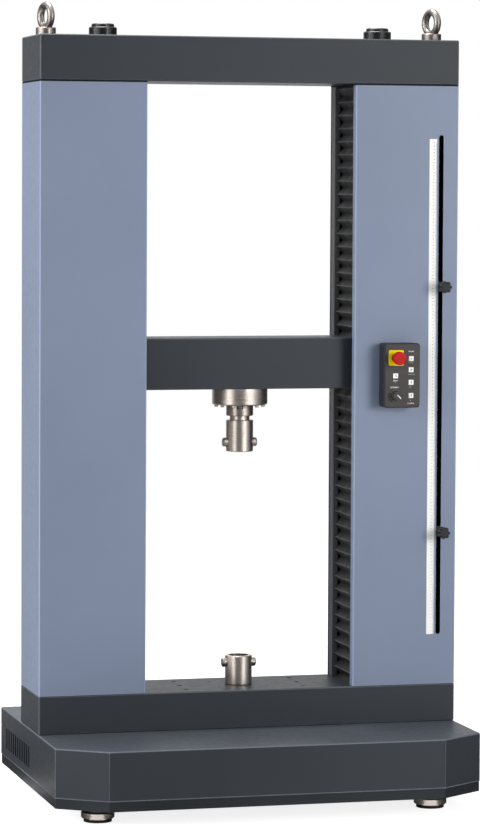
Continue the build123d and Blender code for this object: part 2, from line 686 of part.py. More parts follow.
def couplings():
    """Pinned sockets above and below the specimen."""
    upper = turned([
        (0, SOCKET_Z + SOCKET_BORE_DEPTH), (SOCKET_BORE_R, SOCKET_Z + SOCKET_BORE_DEPTH),
        (SOCKET_BORE_R, SOCKET_Z), (SOCKET_R - SOCKET_EDGE, SOCKET_Z), (SOCKET_R, SOCKET_Z + SOCKET_EDGE),
        (SOCKET_R, SOCKET_TOP - SOCKET_EDGE), (SOCKET_R - SOCKET_EDGE, SOCKET_TOP), (STEM_R, SOCKET_TOP),
        (STEM_R, CELL_Z + STEM_SEAT), (0, CELL_Z + STEM_SEAT)], 0, FRAME_Y)
    upper -= across(-PIN_L / 2, PIN_L / 2, FRAME_Y, UPPER_PIN_Z, PIN_R + RUN)
    save("upper_coupling", upper)
    save("upper_pin", pin(UPPER_PIN_Z))
    top = TABLE_TOP + LOWER_SOCKET_H
    floor = top - SOCKET_BORE_DEPTH
    lower = turned([
        (0, TABLE_TOP - STUD_L), (STUD_R, TABLE_TOP - STUD_L), (STUD_R, TABLE_TOP),
        (SOCKET_R - SOCKET_EDGE, TABLE_TOP), (SOCKET_R, TABLE_TOP + SOCKET_EDGE),
        (SOCKET_R, top - SOCKET_EDGE), (SOCKET_R - SOCKET_EDGE, top), (SOCKET_BORE_R, top),
        (SOCKET_BORE_R, floor), (0, floor)], 0, FRAME_Y)
    lower -= across(-PIN_L / 2, PIN_L / 2, FRAME_Y, LOWER_PIN_Z, PIN_R + RUN)
    save("lower_coupling", lower)
    save("lower_pin", pin(LOWER_PIN_Z))


def bent(sheet, *outside):
    """The folded sheet with its sharp outside corners rounded as a press brake leaves them."""
    middle = (TABLE_TOP + BEAM_BOTTOM) / 2
    upright_edges = sheet.edges().filter_by(Axis.Z)
    bends = [upright_edges.sort_by_distance((x, y, middle))[0] for x, y in outside]
    return fillet(bends, COLUMN_BEND_R)


def column_covers():
    """Folded covers of the columns, the rails beside the bellows and the stop rail."""
    front = folded([
        (COLUMN_IN + FRONT_HEM, FRONT + FRONT_RETURN),
        (COLUMN_IN, FRONT + FRONT_RETURN),
        (COLUMN_IN, FRONT),
        (SIDE, FRONT),
        (SIDE, BACK),
        (SIDE - REAR_LIP, BACK)], COVER_T, TABLE_TOP, BEAM_BOTTOM)
    front = bent(front, (COLUMN_IN, FRONT), (SIDE, FRONT), (SIDE, BACK))
    rear = folded([
        (SIDE - REAR_LIP, BACK),
        (COLUMN_IN, BACK),
        (COLUMN_IN, STRIP_BACK),
        (COLUMN_IN + STRIP_D, STRIP_BACK)], COVER_T, TABLE_TOP, BEAM_BOTTOM)
    rear = bent(rear, (COLUMN_IN, BACK))
    strip = folded([
        (COLUMN_IN + STRIP_D, STRIP_BACK),
        (COLUMN_IN, STRIP_BACK),
        (COLUMN_IN, STRIP_FRONT),
        (COLUMN_IN + STRIP_D, STRIP_FRONT)], STRIP_T, TABLE_TOP, BEAM_BOTTOM)
    save("left_column_cover", flip(front))
    slot = extrude(SlotOverall(SLOT_L, SLOT_W, rotation=90), COVER_T, both=True)
    right = front - Pos(SLOT_X, FRONT, SLOT_Z + SLOT_L / 2) * Rot(90, 0, 0) * slot
    save("right_column_cover", right)
    save("left_rear_cover", flip(rear))
    save("right_rear_cover", rear)
    save("bellows_rails", flip(strip), strip)


def bellows():
    """Closed sleeves round the screw and guide, above and below the crosshead on both sides."""
    x0 = COLUMN_IN + BELLOWS_INSET
    x1 = SIDE - BELLOWS_OUT
    wall = BELLOWS_WALL
    for name, z0, z1 in (("upper", CROSS_TOP + SLIDE, BEAM_BOTTOM - SLIDE),
                         ("lower", TABLE_TOP + SLIDE, CROSS_Z - SLIDE)):
        sleeve = block(x0, x1, BELLOWS_Y0, BELLOWS_Y1, z0, z1)
        sleeve -= block(x0 + wall, x1 - wall, BELLOWS_Y0 + wall, BELLOWS_Y1 - wall, z0, z1)
        save(f"{name}_bellows", flip(sleeve), sleeve)


def knob(z):
    """A star knob on a long stem that clamps a travel stop."""
    tip = FRONT - KNOB_REACH
    ring = KNOB_R - KNOB_LOBE_R
    star = Circle(ring)
    for place in PolarLocations(ring, KNOB_LOBES):
        star += place * Circle(KNOB_LOBE_R)
    head = extrude(star, KNOB_H)
    head = chamfer(head.edges().group_by(Axis.Z)[-1], KNOB_EDGE)
    body = Pos(SLOT_X, tip + KNOB_H, z) * Rot(90, 0, 0) * head
    body += inward(SLOT_X, tip + KNOB_H, tip + KNOB_H + KNOB_HUB_H, z, KNOB_HUB_R)
    body += inward(SLOT_X, tip + KNOB_H, SKIN_BACK + SLIDE + KNOB_THREAD_L, z, KNOB_STEM_R)
    return body


def travel_stop(z):
    """A block that slides behind the slot, with a finger towards the crosshead."""
    y0 = SKIN_BACK + SLIDE
    half = STOP_RAIL_W / 2 - STOP_RAIL_T - SLIDE
    stop = block(SLOT_X - half, SLOT_X + half, y0, y0 + STOP_D, z - STOP_H / 2, z + STOP_H / 2)
    neck = SLOT_W / 2 - SLIDE
    stop += block(SLOT_X - neck, SLOT_X + neck, FRONT, y0, z - STOP_H / 2, z + STOP_H / 2)
    finger = STOP_FINGER_W / 2
    stop += block(SLOT_X - finger, SLOT_X + finger, y0 + STOP_D, FINGER_TIP, z - finger, z + finger)
    stop -= inward(SLOT_X, FRONT, y0 + KNOB_THREAD_L, z, KNOB_STEM_R + RUN)
    return stop


def stops_and_ruler():
    """Ruler, stop rail, the two travel stops and their knobs."""
    ruler_z = TABLE_TOP + RULER_BOTTOM
    save("ruler", block(RULER_X - RULER_W / 2, RULER_X + RULER_W / 2, FRONT - RULER_T, FRONT,
                        ruler_z, ruler_z + RULER_L))
    half = STOP_RAIL_W / 2
    rail_z = SLOT_Z - STOP_RAIL_EXTRA
    rail_top = rail_z + SLOT_L + 2 * STOP_RAIL_EXTRA
    rail_back = SKIN_BACK + STOP_RAIL_D
    rail = folded([
        (SLOT_X + half, SKIN_BACK), (SLOT_X + half, rail_back),
        (SLOT_X - half, rail_back), (SLOT_X - half, SKIN_BACK)], STOP_RAIL_T, rail_z, rail_top)
    gap = STOP_FINGER_W / 2 + SLIDE
    end = STOP_RAIL_EXTRA
    rail -= block(SLOT_X - gap, SLOT_X + gap, rail_back - STOP_RAIL_T, rail_back,
                  rail_z + end, rail_top - end)
    save("stop_rail", rail)
    for name, z in (("upper", SLOT_Z + SLOT_L - UPPER_STOP_DROP), ("lower", SLOT_Z + LOWER_STOP_RISE)):
        save(f"{name}_stop", travel_stop(z))
        save(f"{name}_stop_knob", knob(z))


def eyebolt(side):
    """A lifting eyebolt: ring sunk in a collar, and shank."""
    x = side * EYE_X
    centre = BEAM_TOP + EYE_CENTRE
    ring = Pos(x, FRAME_Y, centre) * Rot(0, 0, EYE_TURN) * Rot(0, 90, 0) * Torus(EYE_RING_R, EYE_BAR_R)
    top = BEAM_TOP + EYE_COLLAR_H
    foot = turned([
        (0, BEAM_TOP - EYE_SHANK_L), (EYE_SHANK_R, BEAM_TOP - EYE_SHANK_L), (EYE_SHANK_R, BEAM_TOP),
        (EYE_COLLAR_R, BEAM_TOP), (EYE_COLLAR_R, top - EYE_EDGE), (EYE_COLLAR_R - EYE_EDGE, top),
        (0, top)], x, FRAME_Y)
    return ring + foot


def rounded_plate(width, height, corner, depth):
    """A plate with rounded corners, from its back at the origin forward to -Y."""
    return Rot(90, 0, 0) * extrude(RectangleRounded(width, height, corner), depth)


def box_button(x, z):
    """A square push button with a lip behind the front wall."""
    y0 = BOX_FRONT - BUTTON_PROUD
    half = BUTTON_W / 2
    cap = block(x - half, x + half, y0, BOX_FRONT + BUTTON_BACK, z - half, z + half)
    cap = chamfer(cap.faces().sort_by(Axis.Y)[0].edges(), BUTTON_EDGE)
    lip = half + BUTTON_LIP
    seat = BOX_FRONT + BOX_WALL + END_GAP
    return cap + block(x - lip, x + lip, seat, seat + BUTTON_LIP_T, z - lip, z + lip)


def control_box():
    """Operator's box: housing, back plate, stop button, push buttons and dial."""
    middle_z = BOX_Z + BOX_H / 2
    housing_d = BOX_D - BOX_BACK_T
    back_y = FRONT - BOX_BACK_T
    shell = Pos(BOX_X, back_y, middle_z) * rounded_plate(BOX_W, BOX_H, BOX_CORNER_R, housing_d)
    shell = fillet(shell.faces().sort_by(Axis.Y)[0].edges(), BOX_EDGE_R)
    shell -= Pos(BOX_X, back_y, middle_z) * rounded_plate(
        BOX_W - 2 * BOX_WALL, BOX_H - 2 * BOX_WALL, BOX_CORNER_R - BOX_WALL, housing_d - BOX_WALL)
    half = BUTTON_W / 2 + SLIDE
    places = [(BOX_X + RIGHT_BUTTONS_X, BOX_Z + z) for z in RIGHT_BUTTONS_Z]
    places.append((BOX_X + LEFT_BUTTON_X, BOX_Z + LEFT_BUTTON_Z))
    for number, (x, z) in enumerate(places, start=1):
        shell -= block(x - half, x + half, BOX_FRONT, BOX_FRONT + BOX_WALL, z - half, z + half)
        save(f"button_{number}", box_button(x, z))
    stop_x = BOX_X + STOP_PLATE_X
    stop_z = BOX_Z + STOP_PLATE_Z
    dial_x = BOX_X + DIAL_X
    dial_z = BOX_Z + DIAL_Z
    shell -= inward(stop_x, BOX_FRONT, BOX_FRONT + BOX_WALL, stop_z, STOP_STEM_R + RUN)
    shell -= inward(dial_x, BOX_FRONT, BOX_FRONT + BOX_WALL, dial_z, DIAL_SHAFT_R + RUN)
    save("box_housing", shell)
    save("box_back", Pos(BOX_X, FRONT, middle_z) * rounded_plate(
        BOX_W - 2 * BOX_BACK_INSET, BOX_H - 2 * BOX_BACK_INSET, BOX_CORNER_R - BOX_BACK_INSET, BOX_BACK_T))

    plate_y = BOX_FRONT - STOP_PLATE_T
    badge = Pos(stop_x, BOX_FRONT, stop_z) * rounded_plate(STOP_PLATE, STOP_PLATE, STOP_PLATE_CORNER_R,
                                                           STOP_PLATE_T)
    save("stop_plate", badge - inward(stop_x, plate_y, BOX_FRONT, stop_z, STOP_STEM_R + RUN))
    collar_y = plate_y - STOP_COLLAR_H
    collar = inward(stop_x, collar_y, plate_y, stop_z, STOP_COLLAR_R)
    save("stop_collar", collar - inward(stop_x, collar_y, plate_y, stop_z, STOP_STEM_R + RUN))
    head_back = collar_y - STOP_TRAVEL - SLIDE
    stem_front = head_back - STOP_HEAD_H / 2
    save("stop_stem", inward(stop_x, stem_front, BOX_FRONT + BOX_WALL + STOP_STEM_BACK, stop_z, STOP_STEM_R))
    head = inward(stop_x, head_back - STOP_HEAD_H, head_back, stop_z, STOP_HEAD_R)
    head = fillet(head.edges().filter_by(GeomType.CIRCLE).sort_by(Axis.Y)[0], STOP_HEAD_ROUND)
    save("stop_button", head - inward(stop_x, stem_front, head_back, stop_z, STOP_STEM_R + RUN))

    dial = inward(dial_x, BOX_FRONT - DIAL_H, BOX_FRONT - END_GAP, dial_z, DIAL_R)
    dial = chamfer(dial.edges().filter_by(GeomType.CIRCLE).sort_by(Axis.Y)[0], DIAL_EDGE)
    dial += inward(dial_x, BOX_FRONT - END_GAP, BOX_FRONT + DIAL_SHAFT_L, dial_z, DIAL_SHAFT_R)
    pointer = block(-DIAL_POINTER_W / 2, DIAL_POINTER_W / 2, -DIAL_POINTER_H, DIAL_POINTER_H,
                    -DIAL_POINTER_TAIL, DIAL_R - 2 * DIAL_EDGE)
    save("speed_dial", dial + Pos(dial_x, BOX_FRONT - DIAL_H, dial_z) * Rot(0, DIAL_REST, 0) * pointer)


def belt_loop(extra):
    """Plan of the belt's path round the three pulleys, this far outside them."""
    rounds = [(-SCREW_X, FRAME_Y, SCREW_PULLEY_R), (SCREW_X, FRAME_Y, SCREW_PULLEY_R),
              (0, PULLEY_AXIS_Y, DRIVE_PULLEY_R)]
    edges = []
    for x, y, radius in rounds:
        edges += (Pos(x, y) * Circle(radius + extra)).edges()
    return make_hull(edges)


def drive():
    """Belt, drive pulley, gearbox, motor, their plate and the servo drive."""
    low = PULLEY_Z + PULLEY_FLANGE_T + BELT_SIDE
    high = PULLEY_TOP - PULLEY_FLANGE_T - BELT_SIDE
    save("drive_belt", rise(belt_loop(RUN + BELT_T), low, high) - rise(belt_loop(RUN), low, high))
    wheel = pulley(0, PULLEY_AXIS_Y, DRIVE_PULLEY_R, 0)
    wheel += upright(0, PULLEY_AXIS_Y, PULLEY_Z - DRIVE_SHAFT_L, PULLEY_Z, DRIVE_SHAFT_R)
    save("drive_pulley", wheel)

    plate_z = PLATE_TOP - MOTOR_PLATE_T
    half = MOTOR_PLATE_W / 2
    bracket = block(-half, half, FRAME_Y + RAIL_OFFSET + RAIL_W / 2, PULLEY_AXIS_Y + MOTOR_PLATE_END,
                    plate_z, PLATE_TOP)
    bracket += block(-half, half, FRAME_Y + RAIL_OFFSET + RAIL_W / 2,
                     FRAME_Y + RAIL_OFFSET + RAIL_W / 2 + MOTOR_PLATE_T, RAIL_Z, plate_z)
    bracket -= upright(0, PULLEY_AXIS_Y, plate_z, PLATE_TOP, DRIVE_SHAFT_R + SCREW_PASS)
    save("motor_plate", bracket)
    box_z = plate_z - GEARBOX_H
    half = GEARBOX_W / 2
    gearbox = block(-half, half, PULLEY_AXIS_Y - half, PULLEY_AXIS_Y + half, box_z, plate_z)
    gearbox = fillet(gearbox.edges().filter_by(Axis.Z), MOTOR_CORNER_R)
    axis_z = box_z + GEARBOX_H / 2
    flange_half = MOTOR_W / 2
    gearbox += block(half, half + GEARBOX_FLANGE_T, PULLEY_AXIS_Y - flange_half, PULLEY_AXIS_Y + flange_half,
                     axis_z - flange_half, axis_z + flange_half)
    gearbox -= upright(0, PULLEY_AXIS_Y, PULLEY_Z - DRIVE_SHAFT_L - END_GAP, plate_z, DRIVE_SHAFT_R + RUN)
    save("gearbox", gearbox)
    motor_x = half + GEARBOX_FLANGE_T
    body = Rectangle(MOTOR_W, MOTOR_W)
    body = fillet(body.vertices(), MOTOR_CORNER_R)
    barrel = extrude(body, MOTOR_L - MOTOR_CAP_L)
    cap_w = MOTOR_W - 2 * MOTOR_CAP_STEP
    cap = extrude(RectangleRounded(cap_w, cap_w, MOTOR_CORNER_R), MOTOR_CAP_L)
    flange = extrude(Rectangle(MOTOR_W, MOTOR_W), MOTOR_FLANGE_T)
    motor = flange + barrel + Pos(0, 0, MOTOR_L - MOTOR_CAP_L) * cap
    save("motor", Pos(motor_x, PULLEY_AXIS_Y, axis_z) * Rot(0, 90, 0) * motor)

    servo = block(SERVO_X - SERVO_W / 2, SERVO_X + SERVO_W / 2, SERVO_Y - SERVO_D / 2, SERVO_Y + SERVO_D / 2,
                  TRAY_FLOOR, TRAY_FLOOR + SERVO_H)
    pitch = (SERVO_W - SERVO_FIN_T) / (SERVO_FINS - 1)
    for number in range(SERVO_FINS - 1):
        x = SERVO_X - SERVO_W / 2 + SERVO_FIN_T + number * pitch
        servo -= block(x, x + pitch - SERVO_FIN_T, SERVO_Y - SERVO_D / 2, SERVO_Y - SERVO_D / 2 + SERVO_FIN_D,
                       TRAY_FLOOR, TRAY_FLOOR + SERVO_H)
    save("servo_drive", servo)


def rear_panel():
    """Connection panel in the back of the base, with the power inlet and the main switch."""
    z0 = COVER_BOTTOM + PANEL_BOTTOM
    middle_z = z0 + PANEL_H / 2
    back = REAR - SHEET_T
    front = back - PANEL_T
    inlet_x = PANEL_X + INLET_X
    switch_x = PANEL_X + SWITCH_X

    def window(x, width, height, y0, y1):
        return block(x - width / 2, x + width / 2, y0, y1, middle_z - height / 2, middle_z + height / 2)

    panel = block(PANEL_X - PANEL_W / 2, PANEL_X + PANEL_W / 2, front, back, z0, z0 + PANEL_H)
    save("rear_panel", panel - window(PANEL_X, ENTRY_W, ENTRY_H, front, back))
    entry = window(PANEL_X, ENTRY_W, ENTRY_H, back - ENTRY_D, back)
    entry += window(PANEL_X, ENTRY_W + 2 * ENTRY_LIP, ENTRY_H + 2 * ENTRY_LIP, back, REAR)
    floor = back - ENTRY_D + ENTRY_WALL
    entry -= window(inlet_x, INLET_W, INLET_H, floor, REAR)
    for number in (-1, 0, 1):
        x = inlet_x + number * INLET_PIN_PITCH
        entry += block(x - INLET_PIN_T / 2, x + INLET_PIN_T / 2, floor, floor + INLET_PIN_L,
                       middle_z - INLET_PIN_W / 2, middle_z + INLET_PIN_W / 2)
    entry -= window(switch_x, SWITCH_W + 2 * SLIDE, SWITCH_H + 2 * SLIDE, REAR - SWITCH_WELL, REAR)
    axle_y = front - SWITCH_AXLE_R
    wall = SWITCH_W / 2 + SLIDE + ENTRY_WALL
    entry -= across(switch_x - wall, switch_x + wall, axle_y, middle_z, SWITCH_AXLE_R + RUN)
    save("power_inlet", entry)

    reach = back + SWITCH_PROUD - axle_y
    half = SWITCH_H / 2 - SWITCH_SWING
    side = make_face(Polyline((0, -half), (reach, -half), (reach - SWITCH_DISH, 0), (reach, half), (0, half),
                              close=True))
    upright_plane = Plane((switch_x, axle_y, middle_z), x_dir=(0, 1, 0), z_dir=(1, 0, 0))
    rocker = upright_plane * Rot(0, 0, -SWITCH_TILT) * extrude(side, SWITCH_W / 2, both=True)
    rocker += across(switch_x - wall, switch_x + wall, axle_y, middle_z, SWITCH_AXLE_R)
    save("main_switch", rocker)


def build():
    """Write every node of the machine."""
    os.makedirs("parts", exist_ok=True)
    base()
    feet()
    table_and_beam()
    screws()
    crosshead()
    load_cell()
    lock_ring()
    couplings()
    column_covers()
    bellows()
    stops_and_ruler()
    save("eyebolts", eyebolt(-1), eyebolt(1))
    control_box()
    drive()
    rear_panel()


build()
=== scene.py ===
import math

import bmesh
import bpy
from mathutils import Matrix, Vector


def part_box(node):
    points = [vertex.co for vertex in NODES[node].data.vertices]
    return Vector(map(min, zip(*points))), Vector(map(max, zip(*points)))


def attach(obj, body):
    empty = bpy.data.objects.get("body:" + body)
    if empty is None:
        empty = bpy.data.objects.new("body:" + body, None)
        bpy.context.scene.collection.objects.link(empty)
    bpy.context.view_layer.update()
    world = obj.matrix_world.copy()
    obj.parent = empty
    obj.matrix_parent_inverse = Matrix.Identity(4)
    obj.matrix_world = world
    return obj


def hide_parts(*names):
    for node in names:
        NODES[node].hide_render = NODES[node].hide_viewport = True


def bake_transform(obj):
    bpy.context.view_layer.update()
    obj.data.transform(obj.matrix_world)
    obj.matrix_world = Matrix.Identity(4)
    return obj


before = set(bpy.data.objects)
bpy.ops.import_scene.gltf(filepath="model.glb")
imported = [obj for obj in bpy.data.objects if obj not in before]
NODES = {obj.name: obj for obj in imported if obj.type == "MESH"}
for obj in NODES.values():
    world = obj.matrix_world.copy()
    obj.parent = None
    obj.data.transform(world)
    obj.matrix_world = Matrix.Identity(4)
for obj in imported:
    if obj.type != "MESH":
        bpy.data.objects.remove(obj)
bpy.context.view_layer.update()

# The photograph's frame and where the camera stood, in metres and degrees
IMAGE_W = 480
IMAGE_H = 824
FOCAL_PIXELS = 3430.9
VIEW_MIDDLE = (243.4, 358.9)
CAMERA_AT = Vector((-2.6518, -10.0025, 1.8385))
CAMERA_YAW = 14.885
CAMERA_PITCH = 2.824
CAMERA_ROLL = 0.285
CAMERA_REACH = 60.0
SENSOR = 36.0

MM = 0.001
WHITE = (1.0, 1.0, 1.0, 1.0)


def add(tree, kind, values=None, **settings):
    """One node with its settings, and its inputs given as numbers or as links."""
    node = tree.nodes.new(kind)
    for key, value in settings.items():
        setattr(node, key, value)
    for key, value in (values or {}).items():
        if isinstance(value, bpy.types.NodeSocket):
            tree.links.new(value, node.inputs[key])
        else:
            node.inputs[key].default_value = value
    return node


def add_after(kind, values, **settings):
    """One more node, in the tree that the links among its values come from."""
    tree = next(value.id_data for value in values.values() if isinstance(value, bpy.types.NodeSocket))
    return add(tree, kind, values, **settings)


def calc(operation, first, second=0.0, third=0.0):
    """The result of one sum on numbers or links."""
    return add_after("ShaderNodeMath", {0: first, 1: second, 2: third}, operation=operation).outputs[0]


def plus(first, second):
    return calc("ADD", first, second)


def minus(first, second):
    return calc("SUBTRACT", first, second)


def times(first, second):
    return calc("MULTIPLY", first, second)


def vector(operation, *values):
    """The results of one sum on vectors."""
    return add_after("ShaderNodeVectorMath", dict(enumerate(values)), operation=operation).outputs


def split(place):
    return add_after("ShaderNodeSeparateXYZ", {0: place}).outputs


def screen(red, green, blue):
    """A colour as a screen shows it, 0 to 255, as the shader takes it."""
    parts = [c / 255 for c in (red, green, blue)]
    linear = [c / 12.92 if c <= 0.04045 else ((c + 0.055) / 1.055) ** 2.4 for c in parts]
    return (*linear, 1.0)


def lighter(colour, share):
    return (*[c * share for c in colour[:3]], 1.0)


def put(name, data):
    """A new thing in the scene."""
    thing = bpy.data.objects.new(name, data)
    bpy.context.scene.collection.objects.link(thing)
    return thing


def middle_of(node):
    """The middle of a node's box."""
    low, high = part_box(node)
    return [(a + b) / 2 for a, b in zip(low, high)]


def new_shader(name, **constants):
    """A material, its tree and its shader, with these inputs of the shader set."""
    material = bpy.data.materials.new(name)
    material.use_nodes = True
    tree = material.node_tree
    shader = tree.nodes["Principled BSDF"]
    for key, value in constants.items():
        shader.inputs[key.replace("_", " ")].default_value = value
    return material, tree, shader


# Camera, floor and light

FLOOR_HALF = 9.0
FLOOR_DROP = -0.6 * MM
FLOOR_GREY = (0.5, 0.5, 0.5, 1.0)
FLOOR_GLOW = 0.84
SKY_LEVEL = 0.36  # light from all round, which the eye sees as white

# Cloths and cards that only reflections show, with places in degrees from the front, to the right
CLOTH_BLACK = (0.01, 0.01, 0.01, 1.0)
CURTAIN_RADIUS = 4.5
CURTAIN_TOP = 3.6
CURTAIN_STEPS = 12
SKIRT_RADIUS = 0.8  # from where a curtain's skirt lies on the floor
LOW_LEFT_TOP = 0.8
FRONT_RADIUS = 8.0
FRONT_TOP = 4.5
ON_FLOOR = 0.2 * MM
CARD_GAP = 20 * MM  # between the left column and the cards
CARD_FRONT, CARD_BACK = -0.13, 0.14
LOW_CARD_FOOT, LOW_CARD_TOP, MIDDLE_CARD_TOP = 0.36, 0.62, 1.14
CARD_ROOM = 4 * MM  # between the cards and the crosshead
FOOT_DISC_R = 49 * MM
FAN_REACH = 0.5
FAN_STEPS = 10


def set_camera():
    data = bpy.data.cameras.new("photo_camera")
    data.sensor_width = SENSOR
    data.lens = FOCAL_PIXELS * SENSOR / IMAGE_H
    data.shift_x = (IMAGE_W / 2 - VIEW_MIDDLE[0]) / IMAGE_H
    data.shift_y = (VIEW_MIDDLE[1] - IMAGE_H / 2) / IMAGE_H
    data.clip_end = CAMERA_REACH
    camera = put("photo_camera", data)
    turn = Matrix.Rotation(math.radians(-CAMERA_YAW), 4, "Z")
    tilt = Matrix.Rotation(math.radians(90 - CAMERA_PITCH), 4, "X")
    roll = Matrix.Rotation(math.radians(CAMERA_ROLL), 4, "Z")
    camera.matrix_world = Matrix.Translation(CAMERA_AT) @ turn @ tilt @ roll
    bpy.context.scene.camera = camera


def seen_directly(tree):
    """1 for rays from the camera, a reflection or glass, and 0 for light that falls on a surface."""
    path = add(tree, "ShaderNodeLightPath").outputs
    shown = calc("MAXIMUM", path["Is Camera Ray"], path["Is Glossy Ray"])
    return calc("MAXIMUM", shown, path["Is Transmission Ray"])


def set_world():
    world = bpy.data.worlds.new("white_studio")
    world.use_nodes = True
    tree = world.node_tree
    shade = tree.nodes["Background"]
    shade.inputs["Color"].default_value = WHITE
    levels = {"Value": seen_directly(tree), "To Min": SKY_LEVEL, "To Max": 1.0}
    tree.links.new(add_after("ShaderNodeMapRange", levels).outputs[0], shade.inputs["Strength"])
    bpy.context.scene.world = world


def stage_piece(name, points, faces, colour, glow):
    """A piece of the studio: its mesh, a matt material and how much it shines to the eye."""
    mesh = bpy.data.meshes.new(name)
    mesh.from_pydata(points, [], faces)
    piece = put(name, mesh)
    material, tree, shader = new_shader(name, Base_Color=colour, Roughness=0.9, Specular_IOR_Level=0.0,
                                        Emission_Color=WHITE)
    tree.links.new(times(seen_directly(tree), glow), shader.inputs["Emission Strength"])
    mesh.materials.append(material)
    return piece


def lay_floor():
    corners = [(FLOOR_HALF * a, FLOOR_HALF * b, FLOOR_DROP) for a, b in ((-1, -1), (1, -1), (1, 1), (-1, 1))]
    stage_piece("pale_floor", corners, [(0, 1, 2, 3)], FLOOR_GREY, FLOOR_GLOW)


def show_in_reflections(name, points, faces, glow):
    """A cloth or card of the studio that only reflections show."""
    piece = stage_piece(name, points, faces, CLOTH_BLACK, glow)
    piece.visible_camera = False
    piece.visible_diffuse = False
    piece.visible_shadow = False
    piece.visible_transmission = False


def arc(start, end, steps):
    """Directions along an arc, right and back, in degrees from the front."""
    angles = [math.radians(start + (end - start) * step / steps) for step in range(steps + 1)]
    return [(math.sin(a), -math.cos(a)) for a in angles]


def hang_curtain(name, start, end, glow, radius=CURTAIN_RADIUS, low=0.0, high=CURTAIN_TOP,
                 skirt=SKIRT_RADIUS):
    """A curtain on an arc around the machine, with a skirt on the floor from this radius out to it."""
    profile = [(radius, high), (radius, low)]
    if skirt:
        profile.append((skirt, ON_FLOOR))
    points = [(reach * x, reach * y, z) for x, y in arc(start, end, CURTAIN_STEPS) for reach, z in profile]
    row = len(profile)
    faces = [(row * k + j, row * k + j + 1, row * (k + 1) + j + 1, row * (k + 1) + j)
             for k in range(CURTAIN_STEPS) for j in range(row - 1)]
    show_in_reflections(name, points, faces, glow)


def lay_fan(name, x, y, start, end, glow):
    """A dark fan on the floor around a foot."""
    rim = [(x + FAN_REACH * a, y + FAN_REACH * b, ON_FLOOR) for a, b in arc(start, end, FAN_STEPS)]
    faces = [(0, k + 1, k + 2) for k in range(FAN_STEPS)]
    show_in_reflections(name, [(x, y, ON_FLOOR)] + rim, faces, glow)


def hang_lamp(name, place, aim, power, size):
    data = bpy.data.lights.new(name, "AREA")
    data.shape = "SQUARE"
    data.size = size
    data.energy = power
    lamp = put(name, data)
    lamp.location = place
    lamp.rotation_euler = (Vector(aim) - Vector(place)).to_track_quat("-Z", "Y").to_euler()


def light_studio():
    bpy.context.scene.view_settings.view_transform = "Standard"
    set_world()
    hang_lamp("left_softbox", (-8.0, -1.4, 3.4), (0, 0, 1.1), power=570.0, size=3.6)
    hang_lamp("right_softbox", (3.4, -5.6, 2.2), (0, 0, 1.0), power=232.0, size=2.4)
    hang_lamp("top_softbox", (-0.5, 1.0, 6.5), (0, -0.2, 0.3), power=330.0, size=3.0)

    # Bright strips and dark cloths that the metal mirrors, from the left of the back round to its right
    hang_curtain("low_left_back_curtain", -188.0, -170.0, 0.42, high=LOW_LEFT_TOP)
    hang_curtain("left_back_curtain", -170.0, -148.0, 0.42)
    hang_curtain("left_curtain", -148.0, -120.0, 0.06)
    hang_curtain("left_side_curtain", -120.0, -86.0, 0.4)
    hang_curtain("left_strip", -84.0, -45.0, 1.7, skirt=None)
    hang_curtain("front_curtain", -45.0, 20.0, 0.12, radius=FRONT_RADIUS, high=FRONT_TOP)
    hang_curtain("right_strip", 24.0, 43.0, 1.45, skirt=None)
    hang_curtain("right_side_curtain", 43.0, 70.0, 0.22)
    hang_curtain("right_curtain", 70.0, 146.0, 0.03)
    hang_curtain("low_back_curtain", 148.0, 170.0, 0.1, low=0.5, high=1.02, skirt=None)

    # Cards beside the load string
    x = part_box("left_column_cover")[1][0] + CARD_GAP
    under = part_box("crosshead")[0][2] - CARD_ROOM
    for name, low, high, glow in (("low_card", LOW_CARD_FOOT, LOW_CARD_TOP, 0.75),
                                  ("middle_card", LOW_CARD_TOP, MIDDLE_CARD_TOP, 0.34),
                                  ("high_card", MIDDLE_CARD_TOP, under, 0.1)):
        corners = [(x, CARD_FRONT, low), (x, CARD_BACK, low), (x, CARD_BACK, high), (x, CARD_FRONT, high)]
        show_in_reflections(name, corners, [(0, 1, 2, 3)], glow)

    low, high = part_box("foot_discs")
    for side, x in (("left", low[0] + FOOT_DISC_R), ("right", high[0] - FOOT_DISC_R)):
        lay_fan(f"{side}_foot_fan_left", x, low[1] + FOOT_DISC_R, -200.0, -52.0, 0.05)
        lay_fan(f"{side}_foot_fan_right", x, low[1] + FOOT_DISC_R, 22.0, 160.0, 0.03)


# How the finishes are made

EDGE_BEGINS, EDGE_FULL = 0.99, 0.86  # cosine of the turn from the flat surface to the rounded one
FLAT = 0.98  # upward part of a face that counts as flat
LOOKS_UP = 0.9  # upward part of a face that is painted lighter as top light
OPENING_SHADE = 0.03  # share of the colour inside an opening
PEEL = 0.06 * MM
TOOL_LINES = 0.001 * MM
DENTS = 0.01 * MM
MOULD_TEXTURE = 0.08 * MM
WEAVE = 0.12 * MM
THREAD_DEEP = 1.5 * MM


def new_finish(name, **constants):
    """A material, its tree, its shader, and the object's own coordinates."""
    material, tree, shader = new_shader(name, **constants)
    return material, tree, shader, add(tree, "ShaderNodeTexCoord").outputs["Object"]


def grain(place, scale, detail=3.0, stretch=None):
    if stretch:
        place = add_after("ShaderNodeMapping", {"Vector": place, "Scale": stretch}).outputs["Vector"]
    return add_after("ShaderNodeTexNoise", {"Vector": place, "Scale": scale, "Detail": detail}).outputs["Fac"]


def spread(value, low=0.0, high=1.0):
    """A grain's middle range spread between two values."""
    bounds = {"Value": value, "From Min": 0.3, "From Max": 0.7, "To Min": low, "To Max": high}
    return add_after("ShaderNodeMapRange", bounds).outputs[0]


